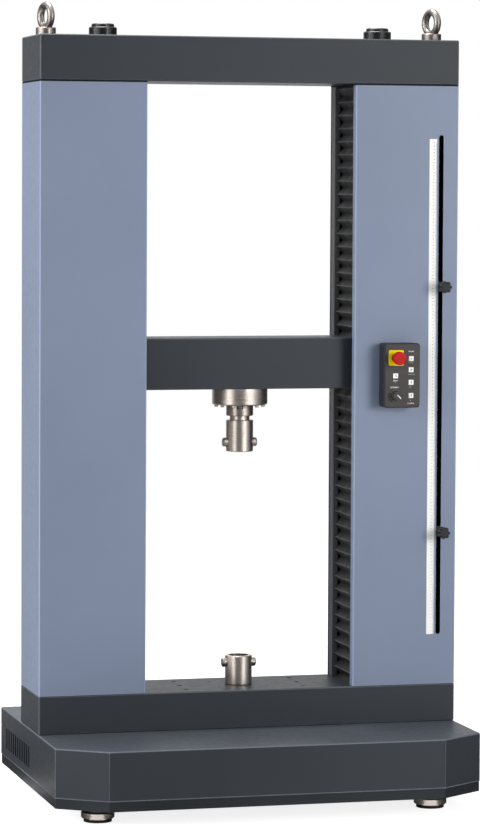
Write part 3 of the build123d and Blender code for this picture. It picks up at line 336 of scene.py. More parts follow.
def two_tone(share, one, two):
    tones = {"Factor": share, "A": one, "B": two}
    return add_after("ShaderNodeMix", tones, data_type="RGBA").outputs["Result"]


def waves(place, scale, direction):
    settings = {"Vector": place, "Scale": scale}
    return add_after("ShaderNodeTexWave", settings, bands_direction=direction).outputs["Fac"]


def normal(tree, kind="Normal"):
    return add(tree, "ShaderNodeNewGeometry").outputs[kind]


def dress(tree, shader, tone, gloss, height=None, depth=0.0, rounded_off=None):
    """Gives a shader its colour, its gloss and the fine relief of its surface."""
    tree.links.new(tone, shader.inputs["Base Color"])
    tree.links.new(gloss, shader.inputs["Roughness"])
    if height is not None:
        bump = add_after("ShaderNodeBump", {"Height": height, "Distance": depth})
        if rounded_off is not None:
            tree.links.new(rounded_off, bump.inputs["Normal"])
        tree.links.new(bump.outputs["Normal"], shader.inputs["Normal"])


def soft_edges(tree, place, radius):
    """The surface as if its edges were rounded, and how much of an edge each point is, unevenly, for the
    painted edge highlight.
    """
    rounded_off = add(tree, "ShaderNodeBevel", {"Radius": radius}, samples=6).outputs["Normal"]
    turn = vector("DOT_PRODUCT", rounded_off, normal(tree))["Value"]
    edge = add_after("ShaderNodeMapRange", {"Value": turn, "From Min": EDGE_BEGINS, "From Max": EDGE_FULL})
    patchiness = spread(grain(place, 14.0, 4.0), 0.55, 1.0)
    return rounded_off, times(edge.outputs[0], patchiness)


def slanted(tree, upright, level):
    """1 on the rounds and chamfers between flat faces: those of upright edges, of level edges, or of both."""
    part = split(normal(tree, "True Normal"))
    share = 0.0
    if upright:
        across = calc("ABSOLUTE", times(part["X"], part["Y"]))
        share = calc("GREATER_THAN", across, upright)
    if level:
        leaning = calc("GREATER_THAN", part["Z"], level)
        not_flat = calc("LESS_THAN", part["Z"], FLAT)
        share = calc("MAXIMUM", share, times(leaning, not_flat))
    return share


def inside(place, low, high):
    """1 within a box, given by its lowest and highest corner with None where it is open, and 0 outside it."""
    spot = split(place)
    share = None
    for axis, least, most in zip("XYZ", low, high):
        for bound, test in ((least, "GREATER_THAN"), (most, "LESS_THAN")):
            if bound is not None:
                hit = calc(test, spot[axis], bound)
                share = hit if share is None else times(share, hit)
    return share


def paint(name, colour, rough, specular, edge_highlight, bend=2.0 * MM, rounds=None, dust_and_top_light=None, openings=()):
    """Powder coat: fine orange peel, a slow drift of colour, edges painted pale as a highlight, openings
    painted near black inside as shade.

    Dust and top light is how much lighter it paints the faces that look up, as painted top light. Rounds
    gives the slants of upright and of level edges that count as an edge, and how much lighter the rounds and
    chamfers there are painted, as a painted highlight.
    """
    material, tree, shader, place = new_finish(name, Specular_IOR_Level=specular)
    drift = spread(grain(place, 2.2, 4.0))
    tone = two_tone(drift, lighter(colour, 0.95), lighter(colour, 1.05))
    # faces that look up painted lighter, unevenly: painted top light
    if dust_and_top_light:
        looks_up = calc("GREATER_THAN", split(normal(tree))["Z"], LOOKS_UP)
        painted_top_light = times(looks_up, spread(grain(place, 5.0, 5.0), 0.7, 1.0))
        tone = two_tone(painted_top_light, tone, lighter(colour, dust_and_top_light))
    rounded_off, edge = soft_edges(tree, place, bend)
    for low, high in openings:
        around = inside(place, (None, *low[1:]), (None, *high[1:]))
        edge = times(edge, minus(1.0, around))
        crisp = {0: around, 4: rounded_off, 5: normal(tree)}
        rounded_off = add_after("ShaderNodeMix", crisp, data_type="VECTOR").outputs[1]
    # rounds and chamfers painted lighter: a painted highlight
    if rounds:
        upright, level, share = rounds
        tone = two_tone(slanted(tree, upright, level), tone, lighter(colour, share))
    # edges painted pale, unevenly: a painted highlight
    tone = two_tone(edge, tone, lighter(colour, edge_highlight))
    # near black inside the openings: painted shade
    for low, high in openings:
        tone = two_tone(inside(place, low, high), tone, lighter(colour, OPENING_SHADE))
    gloss = spread(grain(place, 60.0, 2.0), rough - 0.04, rough + 0.05)
    worn = calc("MULTIPLY_ADD", edge, -0.16, gloss)
    dress(tree, shader, tone, worn, grain(place, 900.0, 2.0), PEEL, rounded_off)
    return material


def turned_steel(name, colour, rough, stretch, bored=None):
    """Bare metal with the fine lines of the tool, which run where stretch is small.

    Bored gives a radius, the axis, a lowest and a highest height and a share of the colour: what lies inside
    them, as a hole's wall, is painted that share of the colour, as painted shade.
    """
    material, tree, shader, place = new_finish(name, Metallic=1.0, Anisotropic=0.35)
    lines = grain(place, 1.0, 5.0, stretch)
    haze = spread(grain(place, 24.0))
    tone = two_tone(haze, lighter(colour, 0.92), lighter(colour, 1.04))
    rounded_off, edge = soft_edges(tree, place, 0.8 * MM)
    # edges painted a little lighter: a painted highlight on the metal
    tone = two_tone(edge, tone, lighter(colour, 1.12))
    if bored:
        radius, axis, low, high, bore_shade = bored
        across = vector("MULTIPLY", vector("SUBTRACT", place, axis)[0], (1.0, 1.0, 0.0))[0]
        near = calc("LESS_THAN", vector("LENGTH", across)["Value"], radius)
        deep = times(near, inside(place, (None, None, low), (None, None, high)))
        # painted shade inside the bore
        tone = two_tone(deep, tone, lighter(colour, bore_shade))
    gloss = spread(lines, rough - 0.04, rough + 0.05)
    dress(tree, shader, tone, gloss, lines, TOOL_LINES, rounded_off)
    return material


def threaded_steel(name, colour, rough, pitch):
    """Ground ball-screw steel: a rounded groove at each pitch, darker in its bottom."""
    material, tree, shader, place = new_finish(name, Metallic=1.0)
    groove = waves(place, 2 * math.pi / (20 * pitch), "Z")
    tone = two_tone(groove, lighter(colour, 0.7), lighter(colour, 1.1))
    gloss = spread(grain(place, 300.0, 2.0), rough - 0.05, rough + 0.07)
    dress(tree, shader, tone, gloss, groove, THREAD_DEEP)
    return material


def forged(name, colour, rough):
    """Forged and plated metal: soft dents and a mottled gloss."""
    material, tree, shader, place = new_finish(name, Metallic=1.0)
    mottle = grain(place, 90.0, 4.0)
    tone = two_tone(spread(mottle), lighter(colour, 0.82), lighter(colour, 1.06))
    gloss = spread(grain(place, 40.0), rough - 0.06, rough + 0.1)
    dress(tree, shader, tone, gloss, mottle, DENTS)
    return material


def moulded(name, colour, rough, specular, texture=MOULD_TEXTURE):
    """Moulded plastic or rubber: spark-eroded texture and dust in the grain."""
    material, tree, shader, place = new_finish(name, Specular_IOR_Level=specular)
    dust_and_top_light = spread(grain(place, 35.0, 5.0))
    tone = two_tone(dust_and_top_light, lighter(colour, 0.93), lighter(colour, 1.07))
    pits = grain(place, 1600.0, 2.0)
    dress(tree, shader, tone, spread(pits, rough - 0.06, rough + 0.06), pits, texture)
    return material


def coated_cloth(name, colour):
    """Coated fabric: a plain weave under a satin coat, with a painted highlight along the ridges of its
    pleats.
    """
    material, tree, shader, place = new_finish(name, Specular_IOR_Level=0.22)
    patchiness = spread(grain(place, 18.0, 4.0))
    cloth = two_tone(patchiness, lighter(colour, 0.8), lighter(colour, 1.2))
    fold = add(tree, "ShaderNodeAttribute", attribute_name="fold").outputs["Fac"]
    near_ridge = {"Value": fold, "From Min": 0.0, "From Max": 0.15, "To Min": 0.9, "To Max": 0.0}
    ridge = add_after("ShaderNodeMapRange", near_ridge).outputs[0]
    # ridges of the pleats painted pale: a painted highlight
    tone = two_tone(ridge, cloth, lighter(colour, 5.0))
    weave = plus(waves(place, 260.0, "Z"), waves(place, 190.0, "DIAGONAL"))
    dress(tree, shader, tone, spread(patchiness, 0.5, 0.68), weave, WEAVE)
    return material


def printed(name, colour):
    """Ink or enamel, a little uneven."""
    material, tree, shader, place = new_finish(name, Specular_IOR_Level=0.3)
    ink = spread(grain(place, 500.0))
    dress(tree, shader, two_tone(ink, lighter(colour, 0.92), colour), spread(ink, 0.5, 0.6))
    return material


# The finishes, and which node has which

CHARCOAL = screen(50, 54, 59)
BLUE = screen(121, 132, 155)
NICKEL = (0.66, 0.588, 0.53, 1.0)
TURNED_LINES = (6.0, 6.0, 2400.0)
PIN_LINES = (2400.0, 6.0, 6.0)
SCREW_LEAD = 20 * MM

# The row of vents in each side of the base: its ends, and its height above the lower edge of the cover
VENT_FRONT, VENT_BACK = 14 * MM, 384 * MM
VENT_FOOT, VENT_HEAD = 20 * MM, 94 * MM
VENT_SKIN = 0.4 * MM
BASE_LOW, BASE_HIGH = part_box("base_cover")
VENTS = ((BASE_LOW[0] + VENT_SKIN, VENT_FRONT, BASE_LOW[2] + VENT_FOOT),
         (BASE_HIGH[0] - VENT_SKIN, VENT_BACK, BASE_LOW[2] + VENT_HEAD))

# The holes of the lock ring and the bore of the lower socket, as turned steel takes them, with painted shade
# inside
LOAD_AXIS = (0.0, middle_of("lock_ring")[1], 0.0)
RING_LOW, RING_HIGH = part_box("lock_ring")
RING_HOLES = (RING_HIGH[0] - 1.2 * MM, LOAD_AXIS, RING_LOW[2] + 1.5 * MM, RING_HIGH[2] + MM, OPENING_SHADE)
SOCKET_LOW, SOCKET_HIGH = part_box("lower_coupling")
SOCKET_BORE = (30.2 * MM, LOAD_AXIS, SOCKET_LOW[2], SOCKET_HIGH[2] - MM, 0.3)

BELLOWS_CLOTH = coated_cloth("bellows_cloth", screen(39, 39, 40))
# lighter charcoal for the seam bead: a painted highlight along the seam
HEM_PAINT = paint("charcoal_hem_painted_highlight", screen(98, 101, 106), 0.4, 0.3, 1.4)
SCREW_STEEL = turned_steel("black_screw_steel", (0.10, 0.10, 0.105, 1.0), 0.35, (900.0, 900.0, 900.0))
BRIGHT_SCREW = turned_steel("bright_screw_steel", (0.55, 0.51, 0.47, 1.0), 0.3, (700.0, 700.0, 700.0))
BLACK_INK = printed("black_ink", screen(28, 28, 30))
WHITE_INK = printed("white_ink", screen(246, 246, 246))
GREY_INK = printed("grey_ink", screen(176, 174, 174))
BOX_OVERLAY = moulded("grey_box_overlay", screen(70, 67, 66), 0.55, 0.2)
# near black pads behind the vents: painted shade inside the base
VENT_SHADE_BLACK = moulded("black_vent_shade", screen(8, 8, 9), 0.9, 0.05, 0.6 * MM)
# near black strip in the joint under the beam: painted shade
GAP_STRIP_BLACK = moulded("black_gap_strip", screen(14, 14, 17), 0.7, 0.1)


def coat(nodes, finish):
    for node in nodes.split():
        materials = NODES[node].data.materials
        materials.clear()
        materials.append(finish)


def coat_painted_metal():
    # every paint here has its edges painted pale, and its rounds where given, as a painted highlight
    coat("table top_beam crosshead",
         paint("charcoal_powder_coat", CHARCOAL, 0.4, 0.18, 7.0, 2.6 * MM, (0.45, 0.1, 2.0)))
    # base cover: its top painted lighter as top light, its edges and top chamfers painted pale as a
    # highlight, its vents painted near black inside as shade
    coat("base_cover", paint("vented_charcoal_powder_coat", CHARCOAL, 0.4, 0.18, 12.0, 4 * MM,
                             (None, 0.1, 3.4), dust_and_top_light=2.6, openings=[VENTS]))
    # a darker copy of the charcoal on the tray: painted shade low on the base
    coat("base_tray", paint("tray_charcoal_painted_shade", lighter(CHARCOAL, 0.62), 0.4, 0.16, 5.0))
    coat("left_rear_cover right_rear_cover",
         paint("rear_charcoal_powder_coat", lighter(CHARCOAL, 0.75), 0.42, 0.14, 1.4))
    coat("left_column_cover right_column_cover",
         paint("blue_grey_powder_coat", BLUE, 0.44, 0.28, 2.6, rounds=(0.12, None, 1.5)))
    coat("bellows_rails", paint("grey_rail_paint", screen(96, 98, 101), 0.45, 0.3, 1.3))
    coat("stop_rail", paint("black_anodised_rail", screen(6, 6, 7), 0.75, 0.03, 1.5))
    coat("screw_caps foot_collars chassis motor_plate",
         paint("black_oxide", screen(21, 21, 24), 0.26, 0.5, 1.6))
    coat("motor", paint("motor_black_paint", screen(40, 41, 43), 0.5, 0.3, 2.0))
    coat("rear_panel", paint("panel_grey_paint", screen(88, 91, 96), 0.5, 0.3, 1.6))


def coat_bare_metal():
    coat("load_cell upper_coupling foot_discs",
         turned_steel("nickel_plated_steel", NICKEL, 0.29, TURNED_LINES))
    coat("lock_ring", turned_steel("lock_ring_steel", lighter(NICKEL, 0.8), 0.28, TURNED_LINES, RING_HOLES))
    coat("lower_coupling",
         turned_steel("socket_steel", lighter(NICKEL, 1.15), 0.29, TURNED_LINES, SOCKET_BORE))
    coat("upper_pin lower_pin", turned_steel("pin_steel", lighter(NICKEL, 0.62), 0.3, PIN_LINES))
    coat("left_screw right_screw",
         threaded_steel("ball_screw_steel", (0.55, 0.56, 0.58, 1.0), 0.2, SCREW_LEAD))
    coat("guide_columns ball_nuts screw_bearings",
         turned_steel("ground_steel", (0.56, 0.57, 0.59, 1.0), 0.2, (4.0, 4.0, 3000.0)))
    coat("guide_bushes", turned_steel("bronze", (0.50, 0.33, 0.16, 1.0), 0.35, (6.0, 6.0, 1200.0)))
    coat("left_screw_pulley right_screw_pulley drive_pulley servo_drive",
         turned_steel("machined_aluminium", (0.66, 0.67, 0.68, 1.0), 0.3, (8.0, 8.0, 900.0)))
    coat("eyebolts", forged("forged_nickel_steel", (0.31, 0.276, 0.256, 1.0), 0.34))
    coat("gearbox", forged("cast_grey_metal", (0.45, 0.46, 0.47, 1.0), 0.45))


def coat_the_rest():
    coat("upper_bellows lower_bellows", BELLOWS_CLOTH)
    coat("ruler", printed("white_enamel", screen(245, 245, 241)))
    coat("foot_pads drive_belt", moulded("black_rubber", screen(28, 28, 29), 0.7, 0.2))
    coat("upper_stop lower_stop upper_stop_knob lower_stop_knob limit_sensor main_switch power_inlet "
         "stop_collar stop_stem", moulded("black_plastic", screen(27, 27, 28), 0.5, 0.3))
    coat("box_housing box_back", moulded("dark_box_plastic", screen(38, 38, 43), 0.5, 0.25))
    coat("stop_plate", moulded("yellow_plate", screen(246, 212, 4), 0.45, 0.12))
    coat("stop_button", moulded("red_plastic", screen(178, 14, 13), 0.42, 0.14))
    coat("speed_dial", moulded("dial_grey_plastic", screen(56, 53, 52), 0.45, 0.25))
    coat("button_1 button_2 button_3 button_4 button_5",
         moulded("white_plastic", screen(246, 246, 246), 0.4, 0.3))


def coat_nodes():
    coat_painted_metal()
    coat_bare_metal()
    coat_the_rest()


# How pieces are made

SHARP_ANGLE = 32.0  # in degrees: an edge that turns more than this stays sharp
PRINT_THICK = 0.12 * MM
LETTER_THICK = 0.04  # of words one unit high
CORNER_STEPS = 5


def new_piece(name, mesh=None):
    return put(name, mesh or bpy.data.meshes.new(name))


def finished_mesh(thing):
    """The mesh of a piece or of a drawing as its modifiers leave it."""
    graph = bpy.context.evaluated_depsgraph_get()
    return bpy.data.meshes.new_from_object(thing.evaluated_get(graph))


def settle(piece):
    """Keeps the piece's mesh as its modifiers leave it, with no modifier left."""
    mesh = finished_mesh(piece)
    piece.modifiers.clear()
    piece.data = mesh


def plain_mesh(curve, finish):
    """The mesh of a curve or of words, with its finish and nothing left of the curve."""
    drawing = put("drawing", curve)
    mesh = finished_mesh(drawing)
    bpy.data.objects.remove(drawing)
    bpy.data.curves.remove(curve)
    mesh.materials.clear()
    mesh.materials.append(finish)
    return mesh


def mesh_from(shape, name, *materials):
    """A mesh from a shape, which is used up, with these materials."""
    mesh = bpy.data.meshes.new(name)
    for material in materials:
        mesh.materials.append(material)
    shape.to_mesh(mesh)
    shape.free()
    return mesh


def new_recipe(name, numbers, **others):
    """A geometry tree with these number inputs and the others by kind, its inputs, and its end."""
    tree = bpy.data.node_groups.new(name, "GeometryNodeTree")
    kinds = {"Geometry": "Geometry"} | dict.fromkeys(numbers.split(), "Float") | others
    for label, kind in kinds.items():
        tree.interface.new_socket(label, in_out="INPUT", socket_type="NodeSocket" + kind)
    tree.interface.new_socket("Geometry", in_out="OUTPUT", socket_type="NodeSocketGeometry")
    return tree, add(tree, "NodeGroupInput").outputs, add(tree, "NodeGroupOutput")


def cook(piece, tree, **values):
    """Runs a geometry tree on a piece with these inputs and keeps the plain mesh."""
    modifier = piece.modifiers.new("recipe", "NODES")
    modifier.node_group = tree
    for socket in tree.interface.items_tree:
        if socket.in_out == "INPUT" and socket.name in values:
            modifier[socket.identifier] = values[socket.name]
    settle(piece)


def geometry(tree, kind, values=None, **settings):
    """What one geometry node gives first."""
    return add(tree, "GeometryNode" + kind, values, **settings).outputs[0]


def close_up(tree, end, faces, material):
    """The end of every geometry tree: real faces, with their material."""
    real = geometry(tree, "RealizeInstances", {"Geometry": faces})
    coated = geometry(tree, "SetMaterial", {"Geometry": real, "Material": material})
    tree.links.new(coated, end.inputs[0])


def place_at(x, y, z):
    return add_after("ShaderNodeCombineXYZ", {0: x, 1: y, 2: z}).outputs[0]


def smooth(mesh, angle=SHARP_ANGLE):
    for face in mesh.polygons:
        face.use_smooth = True
    mesh.set_sharp_from_angle(angle=math.radians(angle))


def join(name, parts):
    """Several plain pieces as one, with their materials kept."""
    shape = bmesh.new()
    materials = []
    for part in parts:
        shift = []
        for material in part.data.materials:
            if material not in materials:
                materials.append(material)
            shift.append(materials.index(material))
        first = len(shape.faces)
        shape.from_mesh(part.data)
        shape.faces.ensure_lookup_table()
        for face in shape.faces[first:]:
            face.material_index = shift[face.material_index]
    mesh = mesh_from(shape, name, *materials)
    for part in parts:
        bpy.data.objects.remove(part)
    return new_piece(name, mesh)


def fix_on(piece, body):
    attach(piece, body)


def facing_front(x, y, z):
    """Turns a flat drawing, right and up, to stand on a front face at this place."""
    return Matrix.Translation((x, y, z)) @ Matrix.Rotation(math.radians(90), 4, "X")


# Pleated bellows

PLEAT_PITCH = 39.95 * MM
FOLD_DEEP = 16.5 * MM
TOP_FOLD = 0.45  # share of the fold's depth at the upper end
TOP_EASE = 75 * MM  # from there down to where the folds are full
CLOTH_SLACK = 5 * MM
CLOTH_THICK = 1.2 * MM
CLOTH_ROOM = 2.4 * MM  # between the cloth and the sides of the space it hangs in
BELLOWS_INSET = 1.5 * MM  # behind the inner face of the column
SEW_GAP = 0.1 * MM
SIDE_STEPS = 10
PLEAT_ROWS = 8


def pleat_recipe():
    """Two box bellows side by side: rows of a rectangle that step in and out, with mitred corners."""
    numbers = "Width Depth Length Pleats Phase Fold Shallow Ease Slack Reach"
    tree, given, end = new_recipe("pleated_bellows", numbers, Middle="Vector", Cloth="Material")
    around = 4 * SIDE_STEPS + 1
    first = calc("FLOOR", times(given["Phase"], PLEAT_ROWS))
    last_beat = plus(given["Phase"], given["Pleats"])
    last = calc("CEIL", times(last_beat, PLEAT_ROWS))
    rows = plus(minus(last, first), 1.0)
    grid = geometry(tree, "MeshGrid", {"Vertices X": rows, "Vertices Y": around})
    index = geometry(tree, "InputIndex")
    row = calc("FLOOR", calc("DIVIDE", plus(index, 0.5), around))
    column = minus(index, times(row, around))
    step = calc("DIVIDE", plus(row, first), PLEAT_ROWS)
    beat = calc("MAXIMUM", calc("MINIMUM", step, last_beat), given["Phase"])
    share = calc("DIVIDE", minus(beat, given["Phase"]), given["Pleats"])

    # Once round the rectangle as the corner count goes from 0 to 4
    corner = calc("DIVIDE", column, SIDE_STEPS)
    sides = []
    for ahead in (0.5, -0.5):
        wave = minus(calc("PINGPONG", plus(corner, ahead), 2.0), 1.0)
        wide = times(wave, 2.0)
        sides.append(calc("MAXIMUM", calc("MINIMUM", wide, 1.0), -1.0))

    # In and out once in each pleat, less deep near the upper end
    zigzag = times(calc("PINGPONG", beat, 0.5), 2.0)
    crease = calc("SMOOTH_MIN", zigzag, 0.97, 0.06)
    from_top = times(minus(1.0, share), given["Length"])
    easing = {"Value": from_top, "From Max": given["Ease"], "To Min": given["Shallow"]}
    depth = add_after("ShaderNodeMapRange", easing).outputs[0]
    inset = times(crease, times(given["Fold"], depth))
    x = times(sides[0], minus(times(given["Width"], 0.5), inset))
    y = times(sides[1], minus(times(given["Depth"], 0.5), inset))

    # Each pleat hangs a little unevenly, and both ends are held
    hold = calc("MINIMUM", times(calc("PINGPONG", share, 0.5), 8.0), 1.0)
    pleat = calc("FLOOR", plus(beat, 0.25))
    spot = place_at(times(x, 7.0), times(y, 7.0), pleat)
    creep = minus(grain(spot, 1.7, 1.0), 0.5)
    sag = times(creep, times(hold, given["Slack"]))
    z = plus(times(share, given["Length"]), sag)
    moved = vector("ADD", place_at(x, y, z), given["Middle"])[0]
    folded = geometry(tree, "SetPosition", {"Geometry": grid, "Position": moved})
    mark = {"Geometry": folded, "Name": "fold", "Value": crease}
    marked = geometry(tree, "StoreNamedAttribute", mark, data_type="FLOAT", domain="POINT")
    sewn = geometry(tree, "MergeByDistance", {"Geometry": marked, "Distance": SEW_GAP})
    across = place_at(given["Reach"], 0.0, 0.0)
    other = geometry(tree, "Transform", {"Geometry": sewn, "Translation": across})
    pair = add(tree, "GeometryNodeJoinGeometry")
    tree.links.new(sewn, pair.inputs[0])
    tree.links.new(other, pair.inputs[0])
    close_up(tree, end, pair.outputs[0], given["Cloth"])
    return tree


def face_out(mesh, middle):
    """Turns the faces of two open tubes away from their middle lines, at plus and minus this distance."""
    shape = bmesh.new()
    shape.from_mesh(mesh)
    bmesh.ops.recalc_face_normals(shape, faces=shape.faces)
    for side in (-1, 1):
        tube = [f for f in shape.faces if f.calc_center_median().x * side > 0]
        outward = sum((f.normal.x * (f.calc_center_median().x - side * middle) for f in tube), 0.0)
        if outward < 0:
            bmesh.ops.reverse_faces(shape, faces=tube)
    shape.to_mesh(mesh)
    shape.free()


def make_bellows():
    recipe = pleat_recipe()
    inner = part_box("right_column_cover")[0][0] + BELLOWS_INSET + CLOTH_ROOM
    for name, phase, fixed_top in (("upper", 0.194, True), ("lower", 0.155, False)):
        low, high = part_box(f"{name}_bellows")
        outer, front, back = high[0] - CLOTH_ROOM, low[1] + CLOTH_ROOM, high[1] - CLOTH_ROOM
        middle = (inner + outer) / 2
        length = high[2] - low[2]
        piece = new_piece(f"{name}_bellows_pleats")
        cook(piece, recipe, Width=outer - inner, Depth=back - front, Length=length, Phase=phase,
             Pleats=length / PLEAT_PITCH, Fold=FOLD_DEEP, Shallow=TOP_FOLD, Ease=TOP_EASE, Slack=CLOTH_SLACK,
             Reach=2 * middle, Middle=(-middle, (back + front) / 2, low[2]), Cloth=BELLOWS_CLOTH)
        face_out(piece.data, middle)
        wall = piece.modifiers.new("cloth", "SOLIDIFY")
        wall.thickness = CLOTH_THICK
        wall.offset = -1.0
        settle(piece)
        smooth(piece.data, angle=25.0)
        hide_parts(f"{name}_bellows")
        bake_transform(piece)


# Cap screws

CELL_SCREWS = 12
CELL_SCREW_IN = 11 * MM  # from the rim of the load cell
REAR_SCREWS = 7
REAR_SCREW_IN = 12 * MM  # from the sides of a rear cover
REAR_SCREW_END = 40 * MM  # from its ends
BASE_SCREWS_X = (-0.6, -0.3, 0.0, 0.6)
BASE_SCREWS_Z = (16 * MM, 128 * MM)  # above the lower edge of the base cover
HEAD_EDGE = 0.12  # chamfer as a share of the head's radius


def cap_screw_recipe():
    """Cap screws with a chamfered head and a hexagon socket, one on each point, all facing one way."""
    tree, given, end = new_recipe("cap_screws", "Head Height Edge Socket", Facing="Vector", Steel="Material")
    size = {"Vertices": 24, "Side Segments": 2, "Radius": given["Head"], "Depth": given["Height"]}
    blank = geometry(tree, "MeshCylinder", size)
    spot = split(geometry(tree, "InputPosition"))
    half = times(given["Height"], 0.5)
    near = times(half, 0.5)
    at_top = calc("GREATER_THAN", spot["Z"], near)
    at_middle = calc("LESS_THAN", calc("ABSOLUTE", spot["Z"]), near)
    keep = minus(1.0, times(at_top, calc("DIVIDE", given["Edge"], given["Head"])))
    rise = plus(spot["Z"], times(at_middle, minus(half, given["Edge"])))
    chamfered = place_at(times(spot["X"], keep), times(spot["Y"], keep), rise)
    head = geometry(tree, "SetPosition", {"Geometry": blank, "Position": chamfered})
    key_size = {"Vertices": 6, "Radius": given["Socket"], "Depth": given["Height"]}
    up = place_at(0.0, 0.0, half)
    key = geometry(tree, "MeshCylinder", key_size)
    raised = geometry(tree, "Transform", {"Geometry": key, "Translation": up})
    drilled = geometry(tree, "MeshBoolean", {"Mesh 1": head, "Mesh 2": raised}, operation="DIFFERENCE")
    seated = geometry(tree, "Transform", {"Geometry": drilled, "Translation": up})
    turn = add_after("FunctionNodeAlignRotationToVector", {"Vector": given["Facing"]}, axis="Z").outputs[0]
    placed = {"Points": given["Geometry"], "Instance": seated, "Rotation": turn}
    close_up(tree, end, geometry(tree, "InstanceOnPoints", placed), given["Steel"])
    return tree


def drive_screws(recipe, name, spots, facing, steel, head, height, socket):
    piece = new_piece(name)
    piece.data.from_pydata(spots, [], [])
    cook(piece, recipe, Head=head, Height=height, Edge=HEAD_EDGE * head, Socket=socket, Facing=facing,
         Steel=steel)
    smooth(piece.data)
    return piece


def make_screws():
    recipe = cap_screw_recipe()
    low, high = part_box("load_cell")
    axis_y = middle_of("load_cell")[1]
    circle = high[0] - CELL_SCREW_IN
    turns = [2 * math.pi * k / CELL_SCREWS for k in range(CELL_SCREWS)]
    spots = [(circle * math.cos(a), axis_y + circle * math.sin(a), low[2]) for a in turns]
    screws = drive_screws(recipe, "load_cell_screws", spots, (0, 0, -1), BRIGHT_SCREW,
                          head=5.8 * MM, height=6.5 * MM, socket=2.5 * MM)
    fix_on(screws, "crosshead")

    spots = []
    for side in ("left", "right"):
        low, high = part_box(f"{side}_rear_cover")
        step = (high[2] - low[2] - 2 * REAR_SCREW_END) / (REAR_SCREWS - 1)
        for x in (low[0] + REAR_SCREW_IN, high[0] - REAR_SCREW_IN):
            spots += [(x, high[1], low[2] + REAR_SCREW_END + k * step) for k in range(REAR_SCREWS)]
    screws = drive_screws(recipe, "rear_cover_screws", spots, (0, 1, 0), SCREW_STEEL,
                          head=5 * MM, height=2.8 * MM, socket=1.7 * MM)
    fix_on(screws, "frame")

    spots = [(x, BASE_HIGH[1], BASE_LOW[2] + z) for x in BASE_SCREWS_X for z in BASE_SCREWS_Z]
    screws = drive_screws(recipe, "base_back_screws", spots, (0, 1, 0), SCREW_STEEL,
                          head=4.6 * MM, height=1.1 * MM, socket=1.5 * MM)
    fix_on(screws, "frame")


# Ruler

RULER_END = 1 * MM  # from the ends of the ruler to its scale
SHORT_TICK, HALF_TICK, LONG_TICK = 3.2 * MM, 4.6 * MM, 6.2 * MM
TICK_STROKE = 0.22 * MM
TICK_SIDE = 0.6 * MM  # from the right edge of the ruler
NUMBER_SIDE = 7.6 * MM
DIGIT_TALL = 4.2 * MM
DIGIT_NARROW = 0.8
HALF_DIGIT = 0.35  # of words one unit high


def tick_recipe():
    """Strokes up a ruler, each longer at every fifth and tenth."""
    tree, given, end = new_recipe("ruler_ticks", "Step Short Half Long Stroke Raised", Count="Int",
                                  Start="Vector", Ink="Material")
    up = place_at(0.0, 0.0, given["Step"])
    row = {"Count": given["Count"], "Start Location": given["Start"], "Offset": up}
    line = geometry(tree, "MeshLine", row)
    index = geometry(tree, "InputIndex")
    fifth = calc("LESS_THAN", calc("MODULO", index, 5.0), 0.5)
    tenth = calc("LESS_THAN", calc("MODULO", index, 10.0), 0.5)
    longer = times(fifth, minus(given["Half"], given["Short"]))
    longest = times(tenth, minus(given["Long"], given["Half"]))
    length = plus(plus(given["Short"], longer), longest)
    back = place_at(times(length, -0.5), 0.0, 0.0)
    points = geometry(tree, "SetPosition", {"Geometry": line, "Offset": back})
    size = place_at(length, given["Raised"], given["Stroke"])
    placed = {"Points": points, "Instance": geometry(tree, "MeshCube"), "Scale": size}
    close_up(tree, end, geometry(tree, "InstanceOnPoints", placed), given["Ink"])
    return tree


def write(name, body, ink, align="CENTER", line_gap=1.0, weight=0.0):
    """Words as a mesh one unit high, right and up, with a little thickness."""
    words = bpy.data.curves.new(name, "FONT")
    words.body = body
    words.align_x = align
    words.resolution_u = 2
    words.space_line = line_gap
    words.extrude = LETTER_THICK / 2
    words.offset = weight
    return plain_mesh(words, ink)


def make_ruler_scale():
    low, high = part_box("ruler")
    start = low[2] + RULER_END
    count = int((high[2] - low[2] - 2 * RULER_END) / MM)
    count -= count % 10
    ticks = new_piece("ruler_ticks")
    cook(ticks, tick_recipe(), Count=count + 1, Step=MM, Short=SHORT_TICK, Half=HALF_TICK, Long=LONG_TICK,
         Stroke=TICK_STROKE, Raised=PRINT_THICK, Start=(high[0] - TICK_SIDE, low[1], start), Ink=BLACK_INK)
    fix_on(ticks, "frame")

    rows = [str(number) for number in range(count // 10, -1, -1)]
    mesh = write("ruler_numbers", "\n".join(rows), BLACK_INK, "RIGHT", 10 * MM / DIGIT_TALL)
    first_middle = max(v.co.y for v in mesh.vertices) - HALF_DIGIT
    size = (DIGIT_NARROW * DIGIT_TALL, DIGIT_TALL, PRINT_THICK / LETTER_THICK, 1.0)
    mesh.transform(Matrix.Diagonal(size))
    top = start + count * MM - first_middle * DIGIT_TALL
    mesh.transform(facing_front(high[0] - NUMBER_SIDE, low[1], top))
    fix_on(new_piece("ruler_numbers", mesh), "frame")


# Control box: front sheet, words, marks on the buttons, pointer of the dial

OVERLAY_THICK = 0.4 * MM
OVERLAY_IN = 3.2 * MM  # from the edges of the box
WORD_WEIGHT = 0.018
DOT_CIRCLE_R = 17.5 * MM
DOTS = 11
POINTER_TURN = -45
POINTER_OUT = 3.5 * MM
POINTER_THICK = 0.3 * MM

